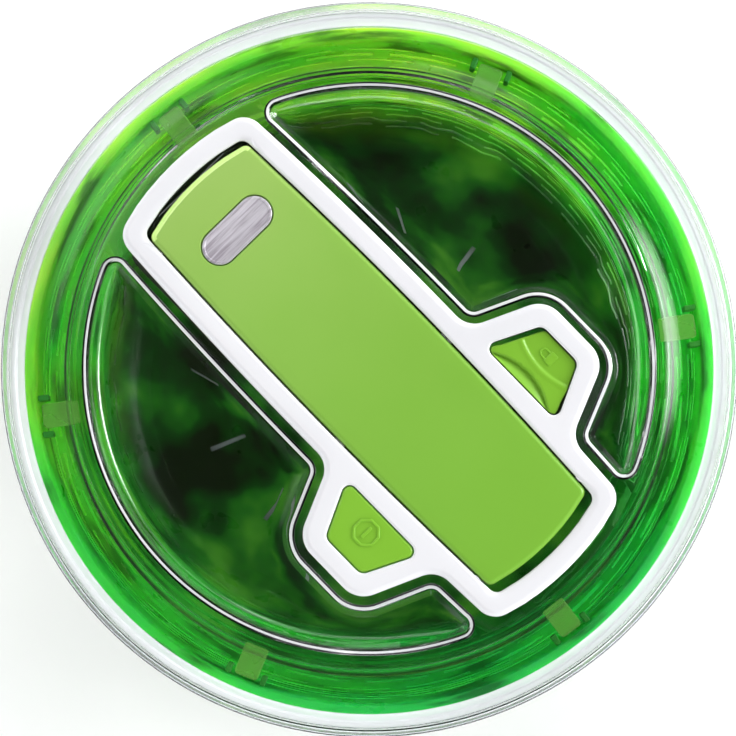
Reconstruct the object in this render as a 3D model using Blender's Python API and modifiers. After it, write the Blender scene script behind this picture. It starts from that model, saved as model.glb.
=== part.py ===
"""Lever-action salad spinner: clear bowl, slotted basket, clear lid and a lever-driven gear train.

Row frame: origin at the centre of the foot, +Z up, +X along the lever from its hinge to its free end,
+Y towards the lock button. Lengths below are in millimetres and are turned into metres when a mesh is made.
"""

import math

import bmesh
import bpy
from mathutils import Matrix, Vector

MM = 0.001

# ---------------------------------------------------------------- driving dimensions (mm)
RIM_R, RIM_Z = 131.0, 128.0        # bowl rim, outer radius and height
WALL = 2.4                         # clear plastic wall
LEDGE_Z = 122.0                    # step inside the bowl mouth that carries the lid
LID_R = 127.6
PLATEAU_Z = 130.5                  # flat top of the lid under the housing
RECESS_Z = 124.2                   # floor of the two half-moon recesses
RECESS_R = 100.3
BASKET_R, BASKET_Z = 124.0, 109.0
DISC_R = 110.0

CROWN_Z, CROWN_R = 145.0, 1250.0   # the housing and the lever share one long crown
HOUSING_R, HOUSING_HALF, HOUSING_SAG = 100.0, 34.3, 2.5
BUMP_X, BUMP_Y = 41.45, 61.0       # side lobes that hold the buttons
OPEN_R, OPEN_HALF = 92.0, 26.5
LEVER_R, LEVER_HALF = 88.5, 26.0
SKIN = 2.2

LEVER_OPENS = 30.0                 # degrees
LUG_TURN = math.radians(53.7)      # where the first of the six drive lugs stands
HINGE_Z = 134.5
M_SECTOR, M_BEVEL, M_FLAT = 0.8, 0.9, 1.2
T_SECTOR, T_PINION = 50, 10        # the sector is part of a 50-tooth gear
T_BEVEL, T_BEVEL_PINION = 18, 12
T_TRANSFER, T_IDLER, T_OUTPUT = 46, 13, 22
MESH_ANGLE = 15.0                  # the pinion lies this far below the hinge's level
OUTPUT_X = 0.0
IDLER_X = OUTPUT_X - M_FLAT * (T_OUTPUT + T_IDLER) / 2
TRANSFER_X = IDLER_X - M_FLAT * (T_IDLER + T_TRANSFER) / 2
CENTRES = M_SECTOR * (T_SECTOR + T_PINION) / 2
HINGE_X = TRANSFER_X - CENTRES * math.cos(math.radians(MESH_ANGLE))
SHAFT_Z = HINGE_Z - CENTRES * math.sin(math.radians(MESH_ANGLE))
FLAT_Z0, FLAT_Z1 = 114.2, 117.2    # the three flat gears
PLATE_Z0, PLATE_Z1 = 117.7, 119.1  # gear frame above them
CASE_Z0, CASE_Z1 = 111.4, 127.7
DISC_Z0, DISC_Z1 = 106.0, 108.4
BUTTON_X, BUTTON_TRAVEL = 41.6, 3.0

STEPS = 40                         # facets round the large turned parts

# ---------------------------------------------------------------- scene
for old in list(bpy.data.objects):
    bpy.data.objects.remove(old, do_unlink=True)


def collection(name):
    made = bpy.data.collections.new(name)
    bpy.context.scene.collection.children.link(made)
    return made


PARTS = collection("salad_spinner")
CUTTERS = collection("cutters")
FINISHES = {}


def finish(name, rgb, rough, metal=0.0, clear=0.0):
    mat = bpy.data.materials.new(name)
    mat.use_nodes = True
    shader = mat.node_tree.nodes["Principled BSDF"]
    shader.inputs["Base Color"].default_value = (*rgb, 1.0)
    shader.inputs["Roughness"].default_value = rough
    shader.inputs["Metallic"].default_value = metal
    shader.inputs["Transmission Weight"].default_value = clear
    mat.diffuse_color = (*rgb, 1.0)
    FINISHES[name] = mat


finish("clear_plastic", (0.90, 0.95, 0.95), 0.04, clear=0.9)
finish("white_plastic", (0.90, 0.90, 0.92), 0.35)
finish("lever_green", (0.28, 0.52, 0.06), 0.32)
finish("button_green", (0.24, 0.50, 0.04), 0.32)
finish("basket_green", (0.05, 0.36, 0.05), 0.35)
finish("foot_green", (0.20, 0.45, 0.05), 0.7)
finish("acetal", (0.80, 0.80, 0.78), 0.4)
finish("steel", (0.62, 0.63, 0.65), 0.25, metal=1.0)
finish("badge_silver", (0.62, 0.60, 0.64), 0.3, metal=0.9)
finish("brake_rubber", (0.05, 0.05, 0.055), 0.8)


def add(name, mesh, mat=None, cutter=False):
    obj = bpy.data.objects.new(name, mesh)
    (CUTTERS if cutter else PARTS).objects.link(obj)
    if cutter:
        obj.hide_render = True
        obj.display_type = "WIRE"
    if mat:
        mesh.materials.clear()
        mesh.materials.append(FINISHES[mat])
    return obj


def settled(obj):
    """The object's evaluated mesh, welded and with its normals outwards."""
    bpy.context.view_layer.update()
    graph = bpy.context.evaluated_depsgraph_get()
    mesh = bpy.data.meshes.new_from_object(obj.evaluated_get(graph))
    bm = bmesh.new()
    bm.from_mesh(mesh)
    bmesh.ops.remove_doubles(bm, verts=bm.verts, dist=1e-6)
    bmesh.ops.recalc_face_normals(bm, faces=bm.faces)
    bm.to_mesh(mesh)
    bm.free()
    return mesh


def replace_by_mesh(obj):
    mesh = settled(obj)
    mesh.transform(obj.matrix_world)
    bpy.data.objects.remove(obj, do_unlink=True)
    return mesh


def plate_mesh(loops, z0, z1):
    """A flat outline, with any holes as further loops, between two heights."""
    data = bpy.data.curves.new("outline", "CURVE")
    data.dimensions, data.fill_mode = "2D", "BOTH"
    data.extrude = (z1 - z0) / 2 * MM
    for loop in loops:
        spline = data.splines.new("POLY")
        spline.points.add(len(loop) - 1)
        spline.use_cyclic_u = True
        for point, (x, y) in zip(spline.points, loop):
            point.co = (x * MM, y * MM, 0, 1)
    obj = bpy.data.objects.new("outline", data)
    PARTS.objects.link(obj)
    obj.location.z = (z0 + z1) / 2 * MM
    bpy.context.view_layer.update()
    return replace_by_mesh(obj)


def plate(name, loops, z0, z1, mat=None, cutter=False):
    return add(name, plate_mesh(loops, z0, z1), mat, cutter)


def signed_area(profile):
    return sum(a[0] * b[1] - b[0] * a[1] for a, b in zip(profile, profile[1:] + profile[:1])) / 2


def turned(name, profile, mat=None, steps=STEPS, at=(0, 0), cutter=False, phase=0.0):
    """A profile of (radius, height) turned about a vertical axis at the given X, Y."""
    points = list(profile)
    on_axis = points[0][0] < 1e-6 and points[-1][0] < 1e-6
    if signed_area(points) > 0:
        points.reverse()
    mesh = bpy.data.meshes.new(name)
    edges = [(i, i + 1) for i in range(len(points) - 1)]
    if not on_axis:
        edges.append((len(points) - 1, 0))
    mesh.from_pydata([(r * MM, 0, z * MM) for r, z in points], edges, [])
    obj = add(name, mesh, None, cutter)
    screw = obj.modifiers.new("turn", "SCREW")
    screw.axis, screw.angle = "Z", math.tau
    screw.steps = screw.render_steps = steps
    screw.use_merge_vertices, screw.merge_threshold = True, 1e-6
    obj.rotation_euler.z = phase
    obj.location = (at[0] * MM, at[1] * MM, 0)
    bpy.context.view_layer.update()
    made = replace_by_mesh(obj)
    made.name = name
    return add(name, made, mat, cutter)


def cylinder(name, r, z0, z1, at=(0, 0), mat=None, sides=20, cutter=False, axis="Z", bottom=None):
    """A cylinder or, with bottom, a cone, along Z at (x, y) or along Y at (x, z) between two positions."""
    bm = bmesh.new()
    bmesh.ops.create_cone(
        bm, cap_ends=True, segments=sides,
        radius1=(r if bottom is None else bottom) * MM, radius2=r * MM, depth=abs(z1 - z0) * MM,
    )
    mid = (z0 + z1) / 2
    if axis == "Z":
        place = Matrix.Translation((at[0] * MM, at[1] * MM, mid * MM))
    else:
        place = Matrix.Translation((at[0] * MM, mid * MM, at[1] * MM)) @ Matrix.Rotation(-math.pi / 2, 4, "X")
    bmesh.ops.transform(bm, matrix=place, verts=bm.verts)
    mesh = bpy.data.meshes.new(name)
    bm.to_mesh(mesh)
    bm.free()
    return add(name, mesh, mat, cutter)


def block_mesh(x0, x1, y0, y1, z0, z1):
    bm = bmesh.new()
    bmesh.ops.create_cube(bm, size=1.0)
    bmesh.ops.scale(bm, vec=((x1 - x0) * MM, (y1 - y0) * MM, (z1 - z0) * MM), verts=bm.verts)
    bmesh.ops.translate(bm, vec=((x0 + x1) / 2 * MM, (y0 + y1) / 2 * MM, (z0 + z1) / 2 * MM), verts=bm.verts)
    mesh = bpy.data.meshes.new("block")
    bm.to_mesh(mesh)
    bm.free()
    return mesh


def block(name, x0, x1, y0, y1, z0, z1, mat=None, cutter=False, spin=0.0):
    mesh = block_mesh(x0, x1, y0, y1, z0, z1)
    if spin:
        mesh.transform(Matrix.Rotation(spin, 4, "Z"))
    return add(name, mesh, mat, cutter)


def merged_cutter(name, objects):
    """Several separate cutting shapes as one hidden object."""
    bm = bmesh.new()
    for obj in objects:
        bm.from_mesh(obj.data)
        bpy.data.objects.remove(obj, do_unlink=True)
    mesh = bpy.data.meshes.new(name)
    bm.to_mesh(mesh)
    bm.free()
    return add(name, mesh, cutter=True)


def combine(obj, other, how, self_cross=False):
    mod = obj.modifiers.new(how.lower(), "BOOLEAN")
    mod.operation, mod.object, mod.solver = how, other, "EXACT"
    mod.use_self = self_cross
    return mod


def cut(obj, *others):
    for other in others:
        combine(obj, other, "DIFFERENCE")


def join(obj, *others):
    for other in others:
        combine(obj, other, "UNION")


def fixed(obj):
    """Applies the object's modifiers, so that it can take part in further cuts cheaply."""
    mesh = settled(obj)
    obj.modifiers.clear()
    obj.data = mesh
    return obj


# ---------------------------------------------------------------- outlines
def filleted(corners, detail=1.0):
    """A closed polygon from (x, y, radius) corners, each rounded by an arc."""
    made, n = [], len(corners)
    for i in range(n):
        x, y, r = corners[i]
        p, a, b = Vector((x, y)), Vector(corners[i - 1][:2]), Vector(corners[(i + 1) % n][:2])
        if r <= 0:
            made.append((x, y))
            continue
        u, v = (a - p).normalized(), (b - p).normalized()
        half = u.angle(v) / 2
        reach = r / math.tan(half)
        centre = p + (u + v).normalized() * (r / math.sin(half))
        start, end = p + u * reach - centre, p + v * reach - centre
        turn = start.angle_signed(end)
        k = max(2, round(abs(turn) / math.radians(30) * detail))
        for j in range(k + 1):
            w = Matrix.Rotation(-turn * j / k, 2) @ start + centre
            made.append((w.x, w.y))
    return made


def offset(loop, d):
    """A closed counter-clockwise polygon moved outwards by d."""
    made, n = [], len(loop)
    for i in range(n):
        a, p, b = Vector(loop[i - 1]), Vector(loop[i]), Vector(loop[(i + 1) % n])
        e, f = (p - a).normalized(), (b - p).normalized()
        m, q = Vector((e.y, -e.x)), Vector((f.y, -f.x))
        w = (m + q).normalized()
        made.append(tuple(p + w * (d / max(0.3, w.dot(m)))))
    return made


def barrel(half, sag, x):
    return half - sag * (x / 95.0) ** 2


def end_arc(radius, half, first, last, start_deg):
    """Points of an end arc about the origin, between its two corners."""
    top = math.degrees(math.asin(half / radius))
    keep = (-0.5, 0.5)
    return [
        (radius * math.cos(math.radians(start_deg + top * k)), radius * math.sin(math.radians(start_deg + top * k)), 0)
        for k in keep
    ]


def bar_outline(radius, half, sag, corner, lobes=False):
    """The barrel-sided bar with arc ends that the housing, its opening and the lever share."""
    y_end = barrel(half, sag, 95.0 * radius / 100.0)
    x_end = math.sqrt(radius**2 - y_end**2)
    points = [*end_arc(radius, y_end, None, None, 0.0), (x_end, y_end, corner)]
    side = [x_end * 0.80]
    if lobes:
        side += ["lobe"]
    else:
        side += [x_end * 0.45]
    side += [x_end * k for k in (0.0, -0.22, -0.45, -0.68, -0.84)]
    upper = []
    for x in side:
        if x == "lobe":
            upper += [
                (BUMP_X + 26.75, barrel(half, sag, BUMP_X + 26.75), 9.0),
                (BUMP_X + 14.75, BUMP_Y, 10.0),
                (BUMP_X - 14.75, BUMP_Y, 10.0),
                (BUMP_X - 26.75, barrel(half, sag, BUMP_X - 26.75), 9.0),
            ]
        else:
            upper.append((x, barrel(half, sag, x), 0))
    points += upper + [(-x_end, y_end, corner), *end_arc(radius, y_end, None, None, 180.0), (-x_end, -y_end, corner)]
    points += [(x, -y, r) for x, y, r in reversed(upper)] + [(x_end, -y_end, corner)]
    return filleted(points)


def button_outline(side, grow=0.0):
    corners = [(-18.3, 33.7, 2.2), (18.3, 33.7, 2.2), (8.9, 53.2, 3.0), (-8.9, 53.2, 3.0)]
    loop = filleted([(BUTTON_X + x, y, r) for x, y, r in corners])
    loop = offset(loop, grow)
    return loop if side > 0 else [(x, -y) for x, y in reversed(loop)]


HOUSING_LOOP = bar_outline(HOUSING_R, HOUSING_HALF, HOUSING_SAG, 7.0, lobes=True)
OPEN_LOOP = bar_outline(OPEN_R, OPEN_HALF, 2.5, 3.2)
LEVER_LOOP = bar_outline(LEVER_R, LEVER_HALF, 2.5, 2.6)


def crown(name, drop, reach=70.0, bottom=90.0):
    """A block whose top is the housing's crown, lowered by drop."""
    steps = 16
    top = [(110.0 - 220.0 * i / steps) for i in range(steps + 1)]
    loop = [(-110.0, bottom), (110.0, bottom)] + [(x, CROWN_Z - drop - x * x / (2 * CROWN_R)) for x in top]
    mesh = plate_mesh([loop], -reach, reach)
    mesh.transform(Matrix.Rotation(math.pi / 2, 4, "X"))
    return add(name, mesh, cutter=True)


def crowned(name, loop, z0, drop, mat=None, cutter=False):
    obj = plate(name, [loop], z0, 160.0, mat, cutter)
    top = crown(name + "_crown", drop)
    combine(obj, top, "INTERSECT")
    fixed(obj)
    bpy.data.objects.remove(top, do_unlink=True)
    return obj


# ---------------------------------------------------------------- gears
def gear_loop(teeth, module, backlash=0.2, addendum=0.85, dedendum=1.2, phase=0.0, only=None, pressure=20.0):
    """Involute outline, counter-clockwise. A tooth is centred on phase (degrees). only keeps a run of teeth, given as (first, last)."""
    pitch_r = module * teeth / 2
    base = pitch_r * math.cos(math.radians(pressure))
    tip, root = pitch_r + addendum * module, pitch_r - dedendum * module
    inv = lambda a: math.tan(a) - a
    half = math.pi / (2 * teeth) - backlash / (2 * pitch_r) / 2

    def half_at(r):
        if r <= base:
            return half + inv(math.radians(pressure))
        return half + inv(math.radians(pressure)) - inv(math.acos(base / r))

    start = max(base, root + 0.05)
    flank = [root] + [start + (tip - start) * k / 2 for k in range(3)]
    loop = []
    for i in range(teeth) if only is None else range(only[0], only[1] + 1):
        middle = math.radians(phase) + math.tau * i / teeth
        rise = [(r, middle - half_at(r)) for r in flank]
        fall = [(r, middle + half_at(r)) for r in reversed(flank)]
        loop += [(r * math.cos(a), r * math.sin(a)) for r, a in rise + fall]
    return loop


def circle(r, sides=20, at=(0, 0)):
    return [(at[0] + r * math.cos(math.tau * i / sides), at[1] + r * math.sin(math.tau * i / sides)) for i in range(sides)]


def moved(loop, dx, dy):
    return [(x + dx, y + dy) for x, y in loop]


def flat_gear(name, teeth, x, phase, bore, mat="acetal", z0=FLAT_Z0, z1=FLAT_Z1, windows=0):
    loops = [moved(gear_loop(teeth, M_FLAT, phase=phase), x, 0), circle(bore, 16, (x, 0))]
    for k in range(windows):
        a = math.tau * (k + 0.5) / windows
        loops.append(circle(M_FLAT * teeth / 2 * 0.2, 8, (x + M_FLAT * teeth / 2 * 0.58 * math.cos(a), M_FLAT * teeth / 2 * 0.58 * math.sin(a))))
    return plate(name, loops, z0, z1, mat)


def bevel_mesh(teeth, mate, phase, keep=0.62):
    """Straight bevel teeth about local Z with the cones' apex at the origin: the large end lies at -mate's pitch radius."""
    far = M_BEVEL * mate / 2
    loop = gear_loop(teeth, M_BEVEL, backlash=0.26, addendum=0.75, dedendum=1.15, phase=phase)
    bm = bmesh.new()
    ring = [bm.verts.new((x * MM, y * MM, -far * MM)) for x, y in loop]
    face = bm.faces.new(ring)
    grown = bmesh.ops.extrude_face_region(bm, geom=[face])
    small = [v for v in grown["geom"] if isinstance(v, bmesh.types.BMVert)]
    for v in small:
        v.co *= keep
    bmesh.ops.recalc_face_normals(bm, faces=bm.faces)
    mesh = bpy.data.meshes.new("bevel")
    bm.to_mesh(mesh)
    bm.free()
    return mesh


def coil(name, r, wire, z0, z1, turns, at, mat="steel", per_turn=10, axis="Z", legs=None, spin=0.0):
    """A round-wire coil spring as a poly curve with a bevel."""
    data = bpy.data.curves.new(name, "CURVE")
    data.dimensions, data.bevel_depth, data.bevel_resolution = "3D", wire * MM, 1
    data.use_fill_caps = True
    n = round(turns * per_turn)
    points = []
    for i in range(n + 1):
        a = spin + math.tau * turns * i / n
        points.append(Vector((r * math.cos(a), r * math.sin(a), z0 + (z1 - z0) * i / n)))
    if legs:
        points = [Vector(legs[0])] + points + [Vector(legs[1])]
    spline = data.splines.new("POLY")
    spline.points.add(len(points) - 1)
    for point, p in zip(spline.points, points):
        point.co = (p.x * MM, p.y * MM, p.z * MM, 1)
    obj = bpy.data.objects.new(name, data)
    PARTS.objects.link(obj)
    if axis == "Y":
        obj.rotation_euler.x = -math.pi / 2
        obj.location = (at[0] * MM, 0, at[1] * MM)
    else:
        obj.location = (at[0] * MM, at[1] * MM, 0)
    bpy.context.view_layer.update()
    return add(name, replace_by_mesh(obj), mat)


def round_shading():
    for obj in PARTS.objects:
        if obj.type == "MESH":
            obj.data.shade_smooth()
            obj.data.set_sharp_from_angle(angle=math.radians(32))


# ================================================================ bowl and foot
bowl = turned("bowl", [
    (0, 2.6), (73.9, 2.6), (73.9, 5.2), (84.1, 5.2), (84.1, 2.6), (88.5, 3.2), (98.0, 9.6), (109.0, 23.5),
    (118.0, 44.5), (124.0, 70.0), (127.5, 98.0), (128.5, 117.5), (131.0, 120.5), (131.0, 128.0),
    (128.0, 128.0), (128.0, 122.0), (126.0, 121.6), (125.1, 98.0), (121.5, 70.6),
    (115.7, 45.4), (107.0, 25.2), (96.0, 11.9), (86.5, 7.6), (12.0, 7.6), (4.0, 11.0), (4.0, 18.4), (3.0, 19.4), (0, 19.4),
], "clear_plastic")

foot_ring = turned("foot_ring", [(74.2, 0.0), (83.8, 0.0), (83.8, 4.9), (74.2, 4.9)], "foot_green")

# ================================================================ basket
basket = turned("basket", [
    (0, 22.2), (7.3, 22.2), (7.3, 13.0), (86.0, 13.0), (93.0, 15.6), (102.6, 26.0), (111.0, 45.4),
    (117.0, 70.0), (121.0, 100.0), (121.2, 105.4), (124.0, 106.4), (124.0, 109.0), (120.8, 109.0), (119.2, 107.2), (118.9, 99.6), (115.0, 70.2),
    (109.1, 46.2), (101.0, 27.4), (92.0, 17.5), (85.6, 15.0), (8.6, 15.0), (8.6, 24.5), (0, 24.5),
], "basket_green")

slots = []
for tier, low in enumerate((52.0, 64.0, 76.0, 88.0)):          # level slots round the wall
    for k in range(10):
        a = math.tau * (k + 0.5 * (tier % 2)) / 10
        slots.append(block("slot", 98.0, 130.0, -20.0, 20.0, low, low + 2.4, spin=a, cutter=True))
for k in range(12):                                            # radial slots in the floor
    a = math.tau * (k + 0.5) / 12
    slots.append(block("slot", 28.0, 78.0, -2.4, 2.4, 10.0, 20.0, spin=a, cutter=True))
slots = merged_cutter("basket_slots", slots)
cut(basket, slots)
fixed(basket)
ribs = []
for k in range(6):                                             # pairs of ribs that the drive disc's lugs push on
    for side in (-1, 1):
        rib = block("drive_rib", 114.6, 119.7, side * 6.6 - 1.0, side * 6.6 + 1.0, 98.5, 108.4, spin=math.tau * k / 6 + LUG_TURN, cutter=True)
        ribs.append(rib)
ribs = merged_cutter("basket_drive_ribs", ribs)
join(basket, ribs)

pivot_cup = turned("pivot_cup", [(0, 19.8), (4.4, 19.8), (4.4, 13.4), (7.0, 13.4), (7.0, 21.9), (0, 21.9)], "acetal", steps=20)

# ================================================================ lid
LID_TOP = [(0, PLATEAU_Z), (100.6, PLATEAU_Z), (103.2, 129.8), (108.0, 127.0), (113.5, 125.3), (120.0, 124.9), (127.0, 124.8), (127.6, 124.2)]
lid = turned("lid", LID_TOP + [
    (127.6, 122.3), (125.6, 122.3), (125.6, 116.0), (123.4, 116.0), (123.4, 122.3), (113.2, 122.8), (107.0, 124.7), (102.6, 127.3), (99.8, 128.1), (0, 128.1),
], "clear_plastic")


def half_moons(name, profile, away, z0, z1):
    """Two half-moons beside the housing: a turned solid less the housing's outline moved outwards."""
    moons = turned(name, profile, cutter=True)
    middle = plate(name + "_middle", [offset(HOUSING_LOOP, away)], z0, z1, cutter=True)
    cut(moons, middle)
    fixed(moons)
    bpy.data.objects.remove(middle, do_unlink=True)
    return moons


# the recess walls keep the lid's thickness: material is first added below, then the recesses are cut from above
under = half_moons("recess_walls", [(0, 129.4), (102.4, 129.4), (100.4, RECESS_Z - WALL), (0, RECESS_Z - WALL)], 5.0 - WALL, 110.0, 140.0)
join(lid, under)
fixed(lid)
pockets = half_moons("recesses", [(0, 140.0), (RECESS_R, 140.0), (RECESS_R, PLATEAU_Z), (98.2, RECESS_Z), (0, RECESS_Z)], 5.0, 110.0, 150.0)
cut(lid, pockets)
fixed(lid)
well = plate("lid_gear_opening", [filleted([(17.0, -26.0, 4), (17.0, 26.0, 4), (-84.0, 26.0, 4), (-91.0, 18.0, 3), (-91.0, -18.0, 3), (-84.0, -26.0, 4)])], 120.0, 140.0, cutter=True)
cut(lid, well)
cut(lid, cylinder("lid_brake_hole", 6.2, 120.0, 140.0, (BUTTON_X, -43.0), sides=20, cutter=True))
CASE_SCREWS = [(-84.0, 28.2), (-84.0, -28.2), (12.0, 28.2), (12.0, -28.2)]
LID_SCREWS = [(80.0, 27.6), (80.0, -27.6)]
for i, at in enumerate(CASE_SCREWS + LID_SCREWS):
    cut(lid, cylinder(f"lid_screw_hole_{i}", 2.0, 120.0, 140.0, at, sides=8, cutter=True))
fixed(lid)

# ================================================================ housing
housing = crowned("housing", HOUSING_LOOP, 130.9, 0.0, "white_plastic")
hollow = crowned("housing_hollow", offset(HOUSING_LOOP, -SKIN), 120.0, SKIN, cutter=True)
keeps = [plate("keep_well", [offset(OPEN_LOOP, 1.7)], 133.2, 160.0, cutter=True)]
for side in (1, -1):
    keeps.append(plate("keep_button_well", [button_outline(side, 1.6)], 136.4, 160.0, cutter=True))
    keeps.append(block("keep_ear", HINGE_X - 4.2, HINGE_X + 4.2, side * 29.2 - 2.0, side * 29.2 + 2.0, 131.4, 160.0, cutter=True))
for at in CASE_SCREWS + LID_SCREWS:
    keeps.append(cylinder("keep_boss", 3.4, 110.0, 160.0, at, sides=8, cutter=True))
for keep in keeps:
    cut(hollow, keep)
    fixed(hollow)
    bpy.data.objects.remove(keep, do_unlink=True)
cut(housing, hollow)
fixed(housing)
cut(housing, plate("lever_opening", [OPEN_LOOP], 120.0, 160.0, cutter=True))
fixed(housing)
cut(housing, plate("stop_opening", [button_outline(-1, 0.25)], 120.0, 160.0, cutter=True))
fixed(housing)
cut(housing, plate("lock_opening", [button_outline(1, 0.25)], 120.0, 160.0, cutter=True))
fixed(housing)
cut(housing, block("bolt_slot", BUTTON_X - 5.3, BUTTON_X + 5.3, 20.0, 45.0, 133.9, 137.3, cutter=True))
fixed(housing)
for i, at in enumerate(CASE_SCREWS + LID_SCREWS):
    cut(housing, cylinder(f"boss_hole_{i}", 1.9, 120.0, 138.2, at, sides=8, cutter=True))
    fixed(housing)
cut(housing, cylinder("hinge_hole", 2.3, -30.1, 30.1, (HINGE_X, HINGE_Z), sides=16, axis="Y", cutter=True))
fixed(housing)

# ================================================================ gear case, frame and cover
case_loop = filleted([(18.5, -31.5, 5), (18.5, 31.5, 5), (-86.0, 31.5, 5), (-90.5, 26.0, 4), (-90.5, -26.0, 4), (-86.0, -31.5, 5)])
gear_case = plate("gear_case", [case_loop], CASE_Z0, CASE_Z1, "white_plastic")
flange = plate("case_flange", [offset(case_loop, 2.2)], 125.9, CASE_Z1, cutter=True)
join(gear_case, flange)
fixed(gear_case)
tub = plate("case_hollow", [offset(case_loop, -1.8)], CASE_Z0 + 2.0, 140.0, cutter=True)
for at in CASE_SCREWS:
    post = cylinder("keep_post", 3.5, 100.0, CASE_Z1 + 0.01, at, sides=8, cutter=True)
    cut(tub, post)
    fixed(tub)
    bpy.data.objects.remove(post, do_unlink=True)
for x0, x1 in ((-70.0, -60.0), (-54.0, -44.0)):                # ledges that carry the gear frame
    for side in (1, -1):
        y = side * 30.4
        ledge = block("keep_ledge", x0, x1, min(y, side * 32.0), max(y, side * 32.0), 100.0, PLATE_Z0 - 0.3, cutter=True)
        cut(tub, ledge)
        fixed(tub)
        bpy.data.objects.remove(ledge, do_unlink=True)
cut(gear_case, tub)
fixed(gear_case)
case_holes = [cylinder("h", 2.0, 100.0, 140.0, at, sides=8, cutter=True) for at in CASE_SCREWS]
case_holes.append(cylinder("h", 5.6, 100.0, 114.0, (OUTPUT_X, 0), sides=20, cutter=True))
for hole in case_holes:
    cut(gear_case, hole)
    fixed(gear_case)
    bpy.data.objects.remove(hole, do_unlink=True)
for x in (TRANSFER_X, IDLER_X):                                # blind seats for the two upright pins
    seat = cylinder("pin_seat", 1.8, 112.3, 116.0, (x, 0), sides=16, cutter=True)
    cut(gear_case, seat)
    fixed(gear_case)
for i, at in enumerate(CASE_SCREWS):                           # counterbores for the screw heads
    cut(gear_case, cylinder(f"counterbore_{i}", 3.1, 100.0, 113.2, at, sides=8, cutter=True))
    fixed(gear_case)

output_bush = turned("output_bush", [(3.2, 110.2), (5.3, 110.2), (5.3, 113.6), (7.6, 113.6), (7.6, 113.95), (3.2, 113.95)], "acetal", steps=20)

# the gear frame: a plate over the flat gears with two posts for the cross shaft
frame_loop = filleted([(-13.5, -18.0, 3), (-13.5, 18.0, 3), (-44.0, 29.2, 3), (-72.0, 29.2, 3), (-72.0, -29.2, 3), (-44.0, -29.2, 3)])
gear_frame = plate("gear_frame", [frame_loop], PLATE_Z0, PLATE_Z1, "acetal")
bearing_y = ((-19.4, -16.4), (13.0, 16.4))
for y0, y1 in bearing_y:
    post = block("shaft_post", TRANSFER_X - 4.0, TRANSFER_X + 4.0, y0, y1, PLATE_Z0 + 0.2, SHAFT_Z + 3.6, cutter=True)
    join(gear_frame, post)
    fixed(gear_frame)
cut(gear_frame, cylinder("shaft_holes", 1.8, -23.0, 19.0, (TRANSFER_X, SHAFT_Z), sides=16, axis="Y", cutter=True))
fixed(gear_frame)
cut(gear_frame, cylinder("transfer_hole", 1.75, 110.0, 125.0, (TRANSFER_X, 0), sides=16, cutter=True))
fixed(gear_frame)
cut(gear_frame, cylinder("idler_hole", 1.75, 110.0, 125.0, (IDLER_X, 0), sides=16, cutter=True))
fixed(gear_frame)
cut(gear_frame, block("sector_slot", -78.0, -57.0, -14.5, -7.5, 110.0, 125.0, cutter=True))
fixed(gear_frame)

# the cover: a tray under the lever, raised over the cross shaft and slotted for the sector
cover_loop = filleted([(86.0, -24.0, 4), (86.0, 24.0, 4), (60.0, 27.5, 0), (-60.0, 27.5, 0), (-74.0, 26.5, 3), (-74.0, -26.5, 3), (-60.0, -27.5, 0), (60.0, -27.5, 0)])
gear_cover = plate("gear_cover", [cover_loop], PLATEAU_Z + 0.3, PLATEAU_Z + 2.1, "white_plastic")
dome = block("cover_dome", TRANSFER_X - 12.2, TRANSFER_X + 12.2, -20.6, 18.2, PLATEAU_Z + 0.3, 138.5, cutter=True)
join(gear_cover, dome)
fixed(gear_cover)
join(gear_cover, cylinder("cover_boss", 6.4, 129.2, 133.8, (OUTPUT_X, 0), sides=20, cutter=True))
fixed(gear_cover)
cut(gear_cover, block("dome_hollow", TRANSFER_X - 10.8, TRANSFER_X + 10.8, -19.8, 17.0, 120.0, 137.5, cutter=True))
fixed(gear_cover)
cut(gear_cover, block("cover_sector_slot", -80.0, TRANSFER_X - 1.0, -14.6, -7.4, 120.0, 145.0, cutter=True))
fixed(gear_cover)
cut(gear_cover, block("cover_catch_relief", BUTTON_X - 7.0, BUTTON_X + 7.0, 20.3, 30.0, 120.0, 140.0, cutter=True))
fixed(gear_cover)
cut(gear_cover, cylinder("cover_bearing", 3.3, 120.0, 140.0, (OUTPUT_X, 0), sides=20, cutter=True))
fixed(gear_cover)
for i, at in enumerate(CASE_SCREWS[2:] + LID_SCREWS):
    cut(gear_cover, cylinder(f"cover_relief_{i}", 4.0, 120.0, 140.0, at, sides=8, cutter=True))
    fixed(gear_cover)

# ================================================================ screws
def screw(name, at, z_head, z_tip):
    r = 1.5
    return turned(name, [(0, z_head), (2.5, z_head), (2.5, z_head + 1.6), (r, z_head + 1.8), (r, z_tip - 1.0), (0.6, z_tip), (0, z_tip)], "steel", steps=8, at=at)


for i, at in enumerate(CASE_SCREWS):
    screw(f"case_screw_{i + 1}", at, 111.3, 137.4)
for i, at in enumerate(LID_SCREWS):
    screw(f"lid_screw_{i + 1}", at, 125.9, 137.4)

# ================================================================ lever
lever_cover = crowned("lever_cover", LEVER_LOOP, 135.4, -0.2, "lever_green")
lever_hollow = crowned("lever_hollow", offset(LEVER_LOOP, -1.8), 120.0, 2.0, cutter=True)
cut(lever_cover, lever_hollow)
fixed(lever_cover)
badge_loop = filleted([(-73.4, -15.2, 6.5), (-60.0, -15.2, 6.5), (-60.0, 15.2, 6.5), (-73.4, 15.2, 6.5)], 1.6)
seat = plate("badge_seat", [badge_loop], 142.2, 160.0, cutter=True)
cut(lever_cover, seat)
fixed(lever_cover)
badge = crowned("badge", offset(badge_loop, -0.3), 142.5, -0.4, "badge_silver")
cut(lever_cover, block("bolt_window", BUTTON_X - 4.6, BUTTON_X + 4.6, 20.0, 30.0, 134.0, 137.6, cutter=True))
fixed(lever_cover)
cut(lever_cover, block("pin_notch", HINGE_X - 2.6, HINGE_X + 2.6, -40.0, 40.0, 130.0, 137.1, cutter=True))
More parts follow.
